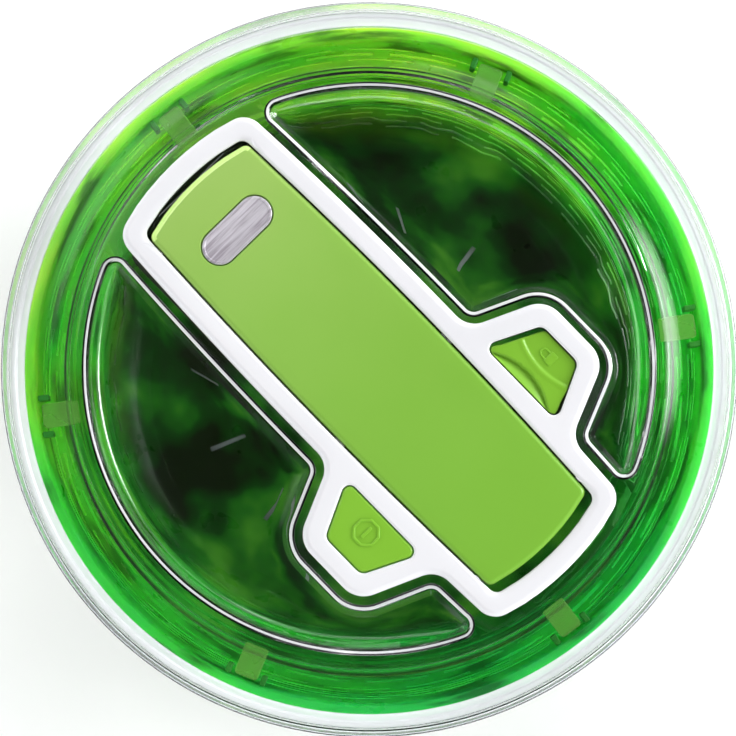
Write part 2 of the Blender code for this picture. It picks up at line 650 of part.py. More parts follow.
fixed(lever_cover)

core_loop = offset(LEVER_LOOP, -2.2)
lever_core = crowned("lever_core", core_loop, 136.0, 2.4, "white_plastic")
cut(lever_core, crowned("core_hollow", bar_outline(LEVER_R - 3.8, LEVER_HALF - 3.8, 2.5, 1.2), 120.0, 4.0, cutter=True))
fixed(lever_core)
bpy.data.objects.remove(bpy.data.objects["core_hollow"], do_unlink=True)
for y0, y1 in ((-20.6, -17.6), (17.6, 20.6)):
    lug = block("core_lug", HINGE_X - 3.6, HINGE_X + 9.0, y0, y1, 134.6, 139.4, cutter=True)
    join(lever_core, lug)
    fixed(lever_core)
    eye = cylinder("core_eye", 4.4, y0, y1, (HINGE_X, HINGE_Z), sides=20, axis="Y", cutter=True)
    join(lever_core, eye)
    fixed(lever_core)
tab = block("catch_tab", BUTTON_X - 6.2, BUTTON_X + 6.2, 21.3, 23.1, 131.3, 139.6, cutter=True)
join(lever_core, tab)
fixed(lever_core)
cut(lever_core, block("catch_window", BUTTON_X - 4.8, BUTTON_X + 4.8, 18.0, 24.6, 133.9, 137.4, cutter=True))
fixed(lever_core)
cut(lever_core, cylinder("core_pin_hole", 2.3, -25.0, 25.0, (HINGE_X, HINGE_Z), sides=16, axis="Y", cutter=True))
fixed(lever_core)
cut(lever_core, plate("core_badge_relief", [offset(badge_loop, 0.6)], 141.6, 160.0, cutter=True))
fixed(lever_core)

# the sector gear hangs below the lever, on the hinge pin
FIRST, LAST = -5, 1                                            # teeth from the mesh point down and up
teeth_loop = gear_loop(T_SECTOR, M_SECTOR, phase=-MESH_ANGLE, only=(FIRST + 0, LAST))
sector_points = [(HINGE_X + x, HINGE_Z + y) for x, y in teeth_loop]
top_a, low_a = math.radians(-MESH_ANGLE + LAST * 7.2 + 4.0), math.radians(-MESH_ANGLE + FIRST * 7.2 - 4.0)
arm = [(HINGE_X + 18.6 * math.cos(top_a), HINGE_Z + 18.6 * math.sin(top_a)), (HINGE_X + 15.0, HINGE_Z + 3.4), (HINGE_X + 1.5, HINGE_Z + 3.6)]
arm += [(HINGE_X + 3.6 * math.cos(a), HINGE_Z + 3.6 * math.sin(a)) for a in (math.radians(k) for k in range(105, 281, 25))]
arm += [(HINGE_X + 18.6 * math.cos(low_a), HINGE_Z + 18.6 * math.sin(low_a))]
sector_mesh = plate_mesh([sector_points + arm, circle(2.3, 16, (HINGE_X, HINGE_Z))], 9.0, 13.0)
sector_mesh.transform(Matrix.Rotation(math.pi / 2, 4, "X"))
sector_gear = add("sector_gear", sector_mesh, "acetal")

hinge_pin = cylinder("hinge_pin", 2.0, -29.8, 29.8, (HINGE_X, HINGE_Z), "steel", sides=16, axis="Y")
lever_spring = coil("lever_spring", 2.9, 0.45, 2.0, 8.0, 4.75, (HINGE_X, HINGE_Z), axis="Y", per_turn=10,
                    legs=((4.3, 7.0, 2.0), (9.6, -3.3, 8.0)))

# ================================================================ cross shaft, bevel pair, flat train
cross_shaft = cylinder("cross_shaft", 1.5, -19.3, 16.4, (TRANSFER_X, SHAFT_Z), "steel", sides=14, axis="Y")
pinion_loops = [gear_loop(T_PINION, M_SECTOR, phase=180.0 - MESH_ANGLE + 18.0, dedendum=1.15), circle(1.75, 14)]
pinion_mesh = plate_mesh([moved(loop, TRANSFER_X, SHAFT_Z) for loop in pinion_loops], 8.4, 13.6)
pinion_mesh.transform(Matrix.Rotation(math.pi / 2, 4, "X"))
drive_pinion = add("drive_pinion", pinion_mesh, "acetal")

# local Z points from the large end to the apex: for the wheel that is -Y, for the pinion +Z
wheel_mesh = bevel_mesh(T_BEVEL, T_BEVEL_PINION, 0.0)
wheel_mesh.transform(Matrix.Rotation(math.pi / 2, 4, "Z"))
wheel_mesh.transform(Matrix.Translation((TRANSFER_X * MM, 0, SHAFT_Z * MM)) @ Matrix.Rotation(math.pi / 2, 4, "X"))
bevel_gear = add("bevel_gear", wheel_mesh, "acetal")
hub = cylinder("bevel_hub", 4.6, M_BEVEL * T_BEVEL_PINION / 2 - 0.5, 11.0, (TRANSFER_X, SHAFT_Z), sides=18, axis="Y", cutter=True)
join(bevel_gear, hub)
cut(bevel_gear, cylinder("bevel_bore", 1.75, 0.0, 15.0, (TRANSFER_X, SHAFT_Z), sides=14, axis="Y", cutter=True))
fixed(bevel_gear)

small_mesh = bevel_mesh(T_BEVEL_PINION, T_BEVEL, 90.0 + 180.0 / T_BEVEL_PINION)
small_mesh.transform(Matrix.Translation((TRANSFER_X * MM, 0, SHAFT_Z * MM)))
bevel_pinion = add("bevel_pinion", small_mesh, "acetal")
cut(bevel_pinion, cylinder("bevel_pinion_bore", 1.75, 110.0, 130.0, (TRANSFER_X, 0), sides=14, cutter=True))
fixed(bevel_pinion)

transfer_shaft = cylinder("transfer_shaft", 1.5, 112.6, 125.4, (TRANSFER_X, 0), "steel", sides=14)
transfer_gear = flat_gear("transfer_gear", T_TRANSFER, TRANSFER_X, 0.0, 1.75, windows=4)
idler_pin = cylinder("idler_pin", 1.5, 112.6, 119.4, (IDLER_X, 0), "steel", sides=14)
idler_gear = flat_gear("idler_gear", T_IDLER, IDLER_X, 180.0 + 180.0 / T_IDLER, 1.75)
output_gear = plate("output_gear", [gear_loop(T_OUTPUT, M_FLAT, phase=180.0 + 180.0 / T_OUTPUT)], FLAT_Z0, FLAT_Z1, "acetal")
join(output_gear, cylinder("output_sleeve", 5.5, 116.0, 122.4, (OUTPUT_X, 0), sides=20, cutter=True))
fixed(output_gear)
cut(output_gear, cylinder("output_bore", 3.3, 110.0, 125.0, (OUTPUT_X, 0), sides=20, cutter=True))
fixed(output_gear)
clutch_spring = coil("clutch_spring", 6.6, 0.55, 118.4, 127.6, 4.5, (OUTPUT_X, 0), per_turn=10)

# ================================================================ drive shaft and disc
drive_shaft = turned("drive_shaft", [(0, 102.0), (3.0, 102.0), (3.0, 122.7), (5.5, 122.7), (5.5, 128.6), (3.0, 128.6), (3.0, 135.0), (2.4, 135.6), (0, 135.6)], "acetal", steps=20)
drive_disc = turned("drive_disc", [
    (3.3, 104.6), (9.0, 104.6), (9.0, DISC_Z0), (DISC_R, DISC_Z0), (DISC_R, DISC_Z1 + 0.8), (108.4, DISC_Z1 + 0.8),
    (108.4, DISC_Z1), (9.0, DISC_Z1), (9.0, 109.6), (3.3, 109.6),
], "clear_plastic")
lugs = merged_cutter("disc_lugs", [
    block("lug", 107.9, 118.2, -5.0, 5.0, DISC_Z0, DISC_Z1, spin=math.tau * k / 6 + LUG_TURN, cutter=True) for k in range(6)
])
join(drive_disc, lugs)
disc_cap = turned("disc_cap", [(0, 101.5), (3.3, 101.5), (3.3, 104.3), (7.5, 104.3), (7.5, 100.6), (6.0, 99.6), (0, 99.6)], "white_plastic", steps=24)

# ================================================================ stop button and brake
stop_button = crowned("stop_button", button_outline(-1, -0.1), 137.0, 0.3, "button_green")
cut(stop_button, crowned("stop_hollow", button_outline(-1, -2.0), 120.0, 2.5, cutter=True))
fixed(stop_button)
bpy.data.objects.remove(bpy.data.objects["stop_hollow"], do_unlink=True)
brake_plunger = turned("brake_plunger", [(0, 117.4), (3.0, 117.4), (3.0, 136.4), (5.0, 136.8), (5.0, 141.1), (0, 141.1)], "white_plastic", steps=20, at=(BUTTON_X, -43.0))
brake_foot = plate("brake_foot", [filleted([(BUTTON_X - 9, -48.0, 2), (BUTTON_X + 9, -48.0, 2), (BUTTON_X + 9, -38.0, 2), (BUTTON_X - 9, -38.0, 2)])], 115.9, 118.2, cutter=True)
join(brake_plunger, brake_foot)
fixed(brake_plunger)
brake_pad = plate("brake_pad", [filleted([(BUTTON_X - 8.4, -47.4, 1.8), (BUTTON_X + 8.4, -47.4, 1.8), (BUTTON_X + 8.4, -38.6, 1.8), (BUTTON_X - 8.4, -38.6, 1.8)])], 111.7, 115.6, "brake_rubber")
brake_guide = turned("brake_guide", [(3.3, 121.8), (5.6, 121.8), (5.6, 130.8), (8.0, 130.8), (8.0, 132.2), (3.3, 132.2)], "white_plastic", steps=20, at=(BUTTON_X, -43.0))
stop_spring = coil("stop_spring", 3.9, 0.4, 132.8, 135.9, 2.5, (BUTTON_X, -43.0), per_turn=10)

# ================================================================ lock button and latch
lock_button = crowned("lock_button", button_outline(1, -0.1), 137.8, 1.3, "button_green")
cut(lock_button, crowned("lock_hollow", button_outline(1, -2.0), 120.0, 3.5, cutter=True))
fixed(lock_button)
bpy.data.objects.remove(bpy.data.objects["lock_hollow"], do_unlink=True)
cut(lock_button, block("skirt_notch", BUTTON_X - 5.4, BUTTON_X + 5.4, 30.0, 37.0, 130.0, 140.3, cutter=True))
fixed(lock_button)
scoop = cylinder("lock_scoop", 12.0, 130.0, 150.0, (BUTTON_X, 25.6), sides=40, cutter=True)
keep_low = block("scoop_floor", BUTTON_X - 30.0, BUTTON_X + 30.0, 10.0, 45.0, 120.0, 140.6, cutter=True)
cut(scoop, keep_low)
fixed(scoop)
cut(lock_button, scoop)
fixed(lock_button)
stem_mesh = plate_mesh([[(38.9, 138.2), (43.2, 133.9), (44.4, 133.9), (44.4, 141.6), (38.9, 141.6)]], BUTTON_X - 3.0, BUTTON_X + 3.0)
stem_mesh.transform(Matrix(((0, 0, 1, 0), (1, 0, 0, 0), (0, 1, 0, 0), (0, 0, 0, 1))))
stem = add("lock_stem", stem_mesh, cutter=True)
join(lock_button, stem)
fixed(lock_button)
lock_spring = coil("lock_spring", 2.3, 0.4, 131.4, 139.2, 4.0, (BUTTON_X, 47.5), per_turn=8)
bolt_mesh = plate_mesh([[(23.6, 134.3), (42.2, 134.3), (39.6, 136.9), (23.6, 136.9)]], BUTTON_X - 4.2, BUTTON_X + 4.2)
bolt_mesh.transform(Matrix(((0, 0, 1, 0), (1, 0, 0, 0), (0, 1, 0, 0), (0, 0, 0, 1))))
latch_bolt = add("latch_bolt", bolt_mesh, "white_plastic")

for obj in (CUTTERS.objects):
    obj.hide_render = True

round_shading()
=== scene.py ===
import math

import bmesh
import bpy
import numpy as np
from mathutils import Matrix, Vector
from mathutils.geometry import delaunay_2d_cdt


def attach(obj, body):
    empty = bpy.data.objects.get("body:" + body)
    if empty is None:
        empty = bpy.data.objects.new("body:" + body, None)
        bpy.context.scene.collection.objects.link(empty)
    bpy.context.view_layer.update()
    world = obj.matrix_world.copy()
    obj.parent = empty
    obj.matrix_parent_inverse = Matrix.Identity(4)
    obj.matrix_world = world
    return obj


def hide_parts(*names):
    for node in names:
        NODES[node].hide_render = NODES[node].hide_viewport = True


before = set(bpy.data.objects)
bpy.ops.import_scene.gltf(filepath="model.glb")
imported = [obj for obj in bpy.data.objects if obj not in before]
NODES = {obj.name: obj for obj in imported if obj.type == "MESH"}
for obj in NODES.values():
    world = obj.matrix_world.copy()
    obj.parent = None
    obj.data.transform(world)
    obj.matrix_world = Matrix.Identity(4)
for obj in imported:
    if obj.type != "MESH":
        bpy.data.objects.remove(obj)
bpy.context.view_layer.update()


MM = 0.001

# the shapes that the CAD nodes have, in millimetres
CROWN_Z, CROWN_R = 145.0, 1250.0
BUTTON_X = 41.6
BUMP_X, BUMP_Y = 41.45, 61.0
HINGE_X, HINGE_Z = -79.58, 134.5
TURN = 216                        # segments round the large turned pieces
LUG_TURN = math.radians(53.7)     # where the first of the six drive lugs stands


def crown(x, y=0.0):
    return CROWN_Z - x * x / (2 * CROWN_R)


def smooth_step(t):
    t = min(1.0, max(0.0, t))
    return t * t * (3 - 2 * t)


# ================================================================ outlines
def filleted(corners, per_deg=7.0):
    """A closed polygon from (x, y, radius) corners, each rounded by an arc."""
    made, n = [], len(corners)
    for i in range(n):
        x, y, r = corners[i]
        p, a, b = Vector((x, y)), Vector(corners[i - 1][:2]), Vector(corners[(i + 1) % n][:2])
        if r <= 0:
            made.append((x, y))
            continue
        u, v = (a - p).normalized(), (b - p).normalized()
        half = u.angle(v) / 2
        if half > math.radians(89.0):                           # a point on a straight side
            made.append((x, y))
            continue
        reach = r / math.tan(half)
        centre = p + (u + v).normalized() * (r / math.sin(half))
        start, end = p + u * reach - centre, p + v * reach - centre
        turn = start.angle_signed(end)
        k = max(3, round(math.degrees(abs(turn)) / per_deg))
        for j in range(k + 1):
            w = Matrix.Rotation(-turn * j / k, 2) @ start + centre
            made.append((w.x, w.y))
    return made


def dense(loop, step):
    """The same closed polygon with its long sides divided."""
    made = []
    for a, b in zip(loop, loop[1:] + loop[:1]):
        d = math.hypot(b[0] - a[0], b[1] - a[1])
        k = max(1, math.ceil(d / step))
        made += [(a[0] + (b[0] - a[0]) * i / k, a[1] + (b[1] - a[1]) * i / k) for i in range(k)]
    return made


def clean(loop, least=0.02):
    made = []
    for p in loop:
        if not made or math.hypot(p[0] - made[-1][0], p[1] - made[-1][1]) > least:
            made.append(p)
    if math.hypot(made[0][0] - made[-1][0], made[0][1] - made[-1][1]) <= least:
        made.pop()
    return made


def offset(loop, d):
    """A closed counter-clockwise polygon moved outwards by d, which may be a function of the point."""
    made, n = [], len(loop)
    distance = d if callable(d) else (lambda x, y: d)
    for i in range(n):
        a, p, b = Vector(loop[i - 1]), Vector(loop[i]), Vector(loop[(i + 1) % n])
        e, f = (p - a).normalized(), (b - p).normalized()
        m, q = Vector((e.y, -e.x)), Vector((f.y, -f.x))
        w = (m + q).normalized()
        made.append(tuple(p + w * (distance(p.x, p.y) / max(0.4, w.dot(m)))))
    return made


def barrel(half, sag, x):
    return half - sag * (x / 95.0) ** 2


def bar_outline(radius, half, sag, corner, lobes=False):
    """The barrel-sided bar with arc ends that the housing, its opening and the lever share."""
    y_end = barrel(half, sag, 0.95 * radius)
    x_end = math.sqrt(radius**2 - y_end**2)
    top = math.asin(y_end / radius)
    arc = [(radius * math.cos(top * k), radius * math.sin(top * k), 0) for k in (-0.6, -0.4, -0.2, 0, 0.2, 0.4, 0.6)]
    xs = [x_end * k for k in (0.84, 0.72)]
    if lobes:
        xs = [x_end * 0.80, "lobe", 5.0]
    else:
        xs += [x_end * k for k in (0.6, 0.45, 0.3, 0.15)]
    xs += [x_end * k for k in (0.0, -0.12, -0.24, -0.36, -0.48, -0.6, -0.72, -0.84)]
    upper = []
    for x in xs:
        if x == "lobe":
            for dx, r in ((26.75, 9.0), (14.75, 10.0), (-14.75, 10.0), (-26.75, 9.0)):
                y = barrel(half, sag, BUMP_X + dx) if abs(dx) > 20 else BUMP_Y
                upper.append((BUMP_X + dx, y, r))
        else:
            upper.append((x, barrel(half, sag, x), 0))
    points = arc + [(x_end, y_end, corner)] + upper + [(-x_end, y_end, corner)]
    points += [(-x, -y, r) for x, y, r in arc] + [(-x_end, -y_end, corner)]
    points += [(x, -y, r) for x, y, r in reversed(upper)] + [(x_end, -y_end, corner)]
    return clean(filleted(points))


def button_outline(side, grow=0.0):
    corners = [(-18.3, 33.7, 2.6), (18.3, 33.7, 2.6), (8.9, 53.2, 3.4), (-8.9, 53.2, 3.4)]
    loop = dense(filleted([(BUTTON_X + x, y, r) for x, y, r in corners], 12), 1.6)
    loop = offset(loop, grow)
    return loop if side > 0 else [(x, -y) for x, y in reversed(loop)]


def circle(r, n, at=(0, 0)):
    return [(at[0] + r * math.cos(math.tau * i / n), at[1] + r * math.sin(math.tau * i / n)) for i in range(n)]


def inside(loops, pts):
    """Even-odd test of points against several closed polygons."""
    pts = np.asarray(pts, float)
    odd = np.zeros(len(pts), bool)
    for loop in loops:
        a = np.asarray(loop, float)
        b = np.roll(a, -1, axis=0)
        for (x0, y0), (x1, y1) in zip(a, b):
            if y0 == y1:
                continue
            hit = ((y0 > pts[:, 1]) != (y1 > pts[:, 1])) & (pts[:, 0] < (x1 - x0) * (pts[:, 1] - y0) / (y1 - y0) + x0)
            odd ^= hit
    return odd


# ================================================================ mesh building
class Skin:
    """Collects rings of points and the faces between them. Everything is in millimetres."""

    def __init__(self):
        self.v, self.f = [], []

    def ring(self, loop, height):
        start = len(self.v)
        for x, y in loop:
            self.v.append((x, y, height(x, y) if callable(height) else height))
        return list(range(start, len(self.v)))

    def bridge(self, a, b):
        n = len(a)
        for i in range(n):
            j = (i + 1) % n
            self.f.append((a[i], a[j], b[j], b[i]))

    def chain(self, rings):
        for a, b in zip(rings, rings[1:]):
            self.bridge(a, b)

    def fill(self, rings, height, spacing=4.0, margin=0.55):
        """Triangles over the region that the rings bound, with points inside it so that it can curve."""
        loops = [[self.v[i][:2] for i in ring] for ring in rings]
        pts = np.array([p for loop in loops for p in loop])
        index = [i for ring in rings for i in ring]
        edges, k = [], 0
        for loop in loops:
            n = len(loop)
            edges += [(k + i, k + (i + 1) % n) for i in range(n)]
            k += n
        lo, hi = pts.min(0), pts.max(0)
        grid, row = [], 0
        y = lo[1] + spacing * 0.5
        while y < hi[1]:
            x = lo[0] + spacing * (0.5 if row % 2 else 0.0)
            while x < hi[0]:
                grid.append((x, y))
                x += spacing
            y += spacing * 0.866
            row += 1
        grid = np.array(grid).reshape(-1, 2)
        if len(grid):
            grid = grid[inside(loops, grid)]
        if len(grid):
            seg_a = np.array([pts[a] for a, b in edges])
            seg_b = np.array([pts[b] for a, b in edges])
            d = seg_b - seg_a
            keep = []
            for p in grid:
                t = np.clip(((p - seg_a) * d).sum(1) / np.maximum((d * d).sum(1), 1e-12), 0, 1)
                near = np.hypot(*(seg_a + d * t[:, None] - p).T).min()
                keep.append(near > margin * spacing)
            grid = grid[np.array(keep)]
        coords = [Vector(p) for p in pts] + [Vector(p) for p in grid]
        out, _, faces, origin, _, _ = delaunay_2d_cdt(coords, edges, [], 0, 1e-7)
        where = {}
        for i, sources in enumerate(origin):
            for s in sources:
                if s < len(pts):
                    where[i] = index[s]
                    break
        tris = [tuple(f) for f in faces]
        centre = np.array([np.mean([out[i][:] for i in t], axis=0) for t in tris])
        for t, ok in zip(tris, inside(loops, centre)):
            if not ok:
                continue
            ids = []
            for i in t:
                if i not in where:
                    x, y = out[i]
                    where[i] = len(self.v)
                    self.v.append((x, y, height(x, y) if callable(height) else height))
                ids.append(where[i])
            if len(set(ids)) == 3:
                self.f.append(tuple(ids))

    def mesh(self, name):
        mesh = bpy.data.meshes.new(name)
        mesh.from_pydata([(x * MM, y * MM, z * MM) for x, y, z in self.v], [], self.f)
        bm = bmesh.new()
        bm.from_mesh(mesh)
        bmesh.ops.remove_doubles(bm, verts=bm.verts, dist=2e-6)
        loose = [v for v in bm.verts if not v.link_faces]
        bmesh.ops.delete(bm, geom=loose, context="VERTS")
        bmesh.ops.recalc_face_normals(bm, faces=bm.faces)
        bm.to_mesh(mesh)
        bm.free()
        return mesh


def put(name, mesh, body, replaces=(), mats=(), sharp=32.0, weighted=True):
    obj = bpy.data.objects.new(name, mesh)
    bpy.context.scene.collection.objects.link(obj)
    mesh.materials.clear()
    for mat in mats:
        mesh.materials.append(mat)
    mesh.shade_smooth()
    mesh.set_sharp_from_angle(angle=math.radians(sharp))
    if weighted:
        mod = obj.modifiers.new("even_normals", "WEIGHTED_NORMAL")
        mod.keep_sharp, mod.weight = True, 60
    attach(obj, body)
    if replaces:
        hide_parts(*replaces)
    return obj


def turned_skin(profile, n=TURN, closed=True, skin=None, at=(0.0, 0.0)):
    """A closed profile of (radius, height), or one from axis to axis, turned about a vertical axis."""
    skin = skin or Skin()
    rings = []
    for r, z in profile:
        if r < 1e-6:
            skin.v.append((at[0], at[1], z))
            rings.append([len(skin.v) - 1])
        else:
            rings.append(skin.ring(circle(r, n, at), z))
    pairs = list(zip(rings, rings[1:]))
    if closed and len(rings[0]) > 1 and len(rings[-1]) > 1:
        pairs.append((rings[-1], rings[0]))
    for a, b in pairs:
        if len(a) == 1 and len(b) == 1:
            continue
        for i in range(n):
            j = (i + 1) % n
            if len(a) == 1:
                skin.f.append((a[0], b[j], b[i]))
            elif len(b) == 1:
                skin.f.append((a[i], a[j], b[0]))
            else:
                skin.f.append((a[i], a[j], b[j], b[i]))
    return skin


def rounded(profile, per_deg=18.0, before=None, after=None):
    """(r, z, fillet radius) points of a turned profile, with its corners rounded.
    An open stretch names the points before and after it, which are left out again."""
    if before is None:
        return clean(filleted([tuple(p) for p in profile], per_deg), 0.01)
    loop = filleted([(*before, 0), *profile, (*after, 0)], per_deg)
    return loop[1:-1]


def spline(points, per=6):
    """Catmull-Rom through the points, ends kept."""
    pts = [Vector(p) for p in points]
    pts = [2 * pts[0] - pts[1], *pts, 2 * pts[-1] - pts[-2]]
    made = []
    for i in range(1, len(pts) - 2):
        p0, p1, p2, p3 = pts[i - 1:i + 3]
        for k in range(per):
            t = k / per
            made.append(tuple(0.5 * (2 * p1 + (p2 - p0) * t + (2 * p0 - 5 * p1 + 4 * p2 - p3) * t * t + (3 * p1 - p0 - 3 * p2 + p3) * t**3)))
    made.append(tuple(pts[-2]))
    return made


# ================================================================ materials
def material(name):
    mat = bpy.data.materials.new(name)
    mat.use_nodes = True
    nt = mat.node_tree
    return mat, nt, nt.nodes["Principled BSDF"]


def noise(nt, scale, detail=3.0, rough=0.5, stretch=None, kind="Object"):
    coord = nt.nodes.new("ShaderNodeTexCoord")
    tex = nt.nodes.new("ShaderNodeTexNoise")
    tex.inputs["Scale"].default_value = scale
    tex.inputs["Detail"].default_value = detail
    tex.inputs["Roughness"].default_value = rough
    source = coord.outputs[kind]
    if stretch:
        mapping = nt.nodes.new("ShaderNodeMapping")
        mapping.inputs["Scale"].default_value = stretch
        nt.links.new(source, mapping.inputs["Vector"])
        source = mapping.outputs["Vector"]
    nt.links.new(source, tex.inputs["Vector"])
    return tex


def ramp(nt, source, stops):
    node = nt.nodes.new("ShaderNodeValToRGB")
    while len(node.color_ramp.elements) < len(stops):
        node.color_ramp.elements.new(0.5)
    for element, (pos, colour) in zip(node.color_ramp.elements, stops):
        element.position = pos
        element.color = (*colour, 1.0) if len(colour) == 3 else colour
    nt.links.new(source, node.inputs["Fac"])
    return node


def map_range(nt, source, lo, hi, a=0.0, b=1.0):
    node = nt.nodes.new("ShaderNodeMapRange")
    for key, value in (("From Min", lo), ("From Max", hi), ("To Min", a), ("To Max", b)):
        node.inputs[key].default_value = value
    nt.links.new(source, node.inputs["Value"])
    return node


def bump(nt, shader, height, strength, distance):
    node = nt.nodes.new("ShaderNodeBump")
    node.inputs["Strength"].default_value = strength
    node.inputs["Distance"].default_value = distance
    nt.links.new(height, node.inputs["Height"])
    nt.links.new(node.outputs["Normal"], shader.inputs["Normal"])


def plastic(name, dark, light, rough, grain=0.06, coat=0.0, grain_scale=2600.0, spec=0.5, blotch=14.0):
    """Moulded plastic: slight drift of colour and gloss, and the tool's fine texture."""
    mat, nt, shader = material(name)
    drift = noise(nt, blotch, 2.0)
    tone = ramp(nt, drift.outputs["Fac"], [(0.35, dark), (0.65, light)])
    nt.links.new(tone.outputs["Color"], shader.inputs["Base Color"])
    smear = noise(nt, 90.0, 3.0)
    gloss = map_range(nt, smear.outputs["Fac"], 0.3, 0.7, rough - 0.03, rough + 0.04)
    nt.links.new(gloss.outputs["Result"], shader.inputs["Roughness"])
    fine = noise(nt, grain_scale, 2.0)
    bump(nt, shader, fine.outputs["Fac"], grain, 0.0002)
    shader.inputs["Coat Weight"].default_value = coat
    shader.inputs["Coat Roughness"].default_value = 0.12
    shader.inputs["Specular IOR Level"].default_value = spec
    return mat


def clear(name, tint, rough=0.012, shade=(0.93, 0.955, 0.945), ior=1.49, gleam=1.0, coat=0.0, weight=1.0):
    """Clear moulded plastic that lets the lamps' light through, slightly tinted."""
    mat, nt, shader = material(name)
    drift = noise(nt, 9.0, 2.0)
    tone = ramp(nt, drift.outputs["Fac"], [(0.3, tuple(c * 0.985 for c in tint)), (0.7, tint)])
    nt.links.new(tone.outputs["Color"], shader.inputs["Base Color"])
    fine = noise(nt, 60.0, 2.0)
    gloss = map_range(nt, fine.outputs["Fac"], 0.3, 0.7, rough * 0.6, rough * 1.5)
    nt.links.new(gloss.outputs["Result"], shader.inputs["Roughness"])
    flow = noise(nt, 26.0, 1.0)
    bump(nt, shader, flow.outputs["Fac"], 0.05, 0.0015)
    shader.inputs["Transmission Weight"].default_value = weight
    shader.inputs["IOR"].default_value = ior
    shader.inputs["Specular Tint"].default_value = (gleam, gleam, gleam, 1.0)
    shader.inputs["Coat Weight"].default_value = coat
    shader.inputs["Coat IOR"].default_value = 1.8
    shader.inputs["Coat Roughness"].default_value = 0.03
    out = nt.nodes["Material Output"]
    path = nt.nodes.new("ShaderNodeLightPath")
    through = nt.nodes.new("ShaderNodeBsdfTransparent")
    through.inputs["Color"].default_value = (*shade, 1.0)
    mix = nt.nodes.new("ShaderNodeMixShader")
    nt.links.new(path.outputs["Is Shadow Ray"], mix.inputs["Fac"])
    nt.links.new(shader.outputs["BSDF"], mix.inputs[1])
    nt.links.new(through.outputs["BSDF"], mix.inputs[2])
    nt.links.new(mix.outputs["Shader"], out.inputs["Surface"])
    return mat


WHITE = plastic("white_satin", (0.745, 0.745, 0.775), (0.785, 0.785, 0.812), 0.34, grain=0.05, coat=0.15)
# near-black for the wells' inner walls: painted shade
WELL_PAINTED_SHADE = plastic("well_shade", (0.012, 0.020, 0.006), (0.022, 0.032, 0.010), 0.60)
WHITE_INNER = plastic("white_inner", (0.74, 0.74, 0.75), (0.80, 0.80, 0.81), 0.45, grain=0.08)
LEVER = plastic("lever_green", (0.295, 0.490, 0.100), (0.312, 0.512, 0.112), 0.38, grain=0.10, coat=0.25)
# lighter yellow-green for the hinge end's rounding: painted highlight
LEVER_END_PAINTED_HIGHLIGHT = plastic("lever_end_painted_highlight", (0.56, 0.83, 0.23), (0.66, 0.90, 0.30), 0.24, grain=0.04, coat=0.6)
BUTTON = plastic("button_green", (0.195, 0.455, 0.030), (0.215, 0.480, 0.038), 0.34, grain=0.08, coat=0.25)
ACETAL = plastic("acetal", (0.66, 0.66, 0.63), (0.74, 0.74, 0.71), 0.42, grain=0.08, blotch=60.0)
# near-black gear case: painted shade for what shows through the lever's gaps
INNER_PAINTED_SHADE = plastic("inner_painted_shade", (0.020, 0.030, 0.014), (0.030, 0.042, 0.020), 0.55, grain=0.08)
RUBBER = plastic("brake_rubber", (0.020, 0.020, 0.022), (0.035, 0.035, 0.038), 0.75, grain=0.35, grain_scale=1500.0)
FOOT = plastic("foot_green", (0.15, 0.36, 0.03), (0.18, 0.41, 0.04), 0.62, grain=0.25, grain_scale=1500.0)
def painted_highlight_edge(name, dark, light):
    """The rounded lip of a recess in clear plastic, made whitish and faintly glowing: a painted highlight line along
    it.
    """
    mat, nt, shader = material(name)
    drift = noise(nt, 30.0, 2.0)
    tone = ramp(nt, drift.outputs["Fac"], [(0.35, dark), (0.65, light)])
    nt.links.new(tone.outputs["Color"], shader.inputs["Base Color"])
    fine = noise(nt, 400.0, 2.0)
    gloss = map_range(nt, fine.outputs["Fac"], 0.3, 0.7, 0.06, 0.14)
    nt.links.new(gloss.outputs["Result"], shader.inputs["Roughness"])
    shader.inputs["Transmission Weight"].default_value = 0.5
    shader.inputs["IOR"].default_value = 1.49
    shader.inputs["Emission Color"].default_value = (0.93, 0.95, 1.0, 1.0)
    shader.inputs["Emission Strength"].default_value = 0.22
    return mat


# painted highlight for the recess lips: whitish, with a faint glow
EDGE_PAINTED_HIGHLIGHT = painted_highlight_edge("clear_lid_painted_highlight", (0.93, 0.95, 0.96), (1.0, 1.0, 1.0))
CLEAR_LID = clear("clear_lid", (0.978, 0.988, 0.985), gleam=0.4)
CLEAR_WALL = clear("clear_recess_wall", (0.978, 0.988, 0.985), coat=1.0)
# half diffuse pale white: painted light on the thick rim band
RIM_PAINTED_LIGHT = clear("clear_rim_painted_light", (0.90, 0.905, 0.93), rough=0.06, weight=0.55)
CLEAR_BOWL = clear("clear_bowl", (0.965, 0.972, 0.988))
CLEAR_DISC = clear("clear_disc", (0.95, 0.985, 0.965), rough=0.03, shade=(0.90, 0.94, 0.92), gleam=0.5)
LUG = clear("frosted_lug", (0.34, 0.66, 0.16), rough=0.22, weight=0.82, gleam=0.4)
# dark green drive ribs: painted shade for the dark gap by the drive lugs
RIB_PAINTED_SHADE = plastic("rib_painted_shade", (0.016, 0.170, 0.016), (0.026, 0.220, 0.020), 0.42, grain=0.10)


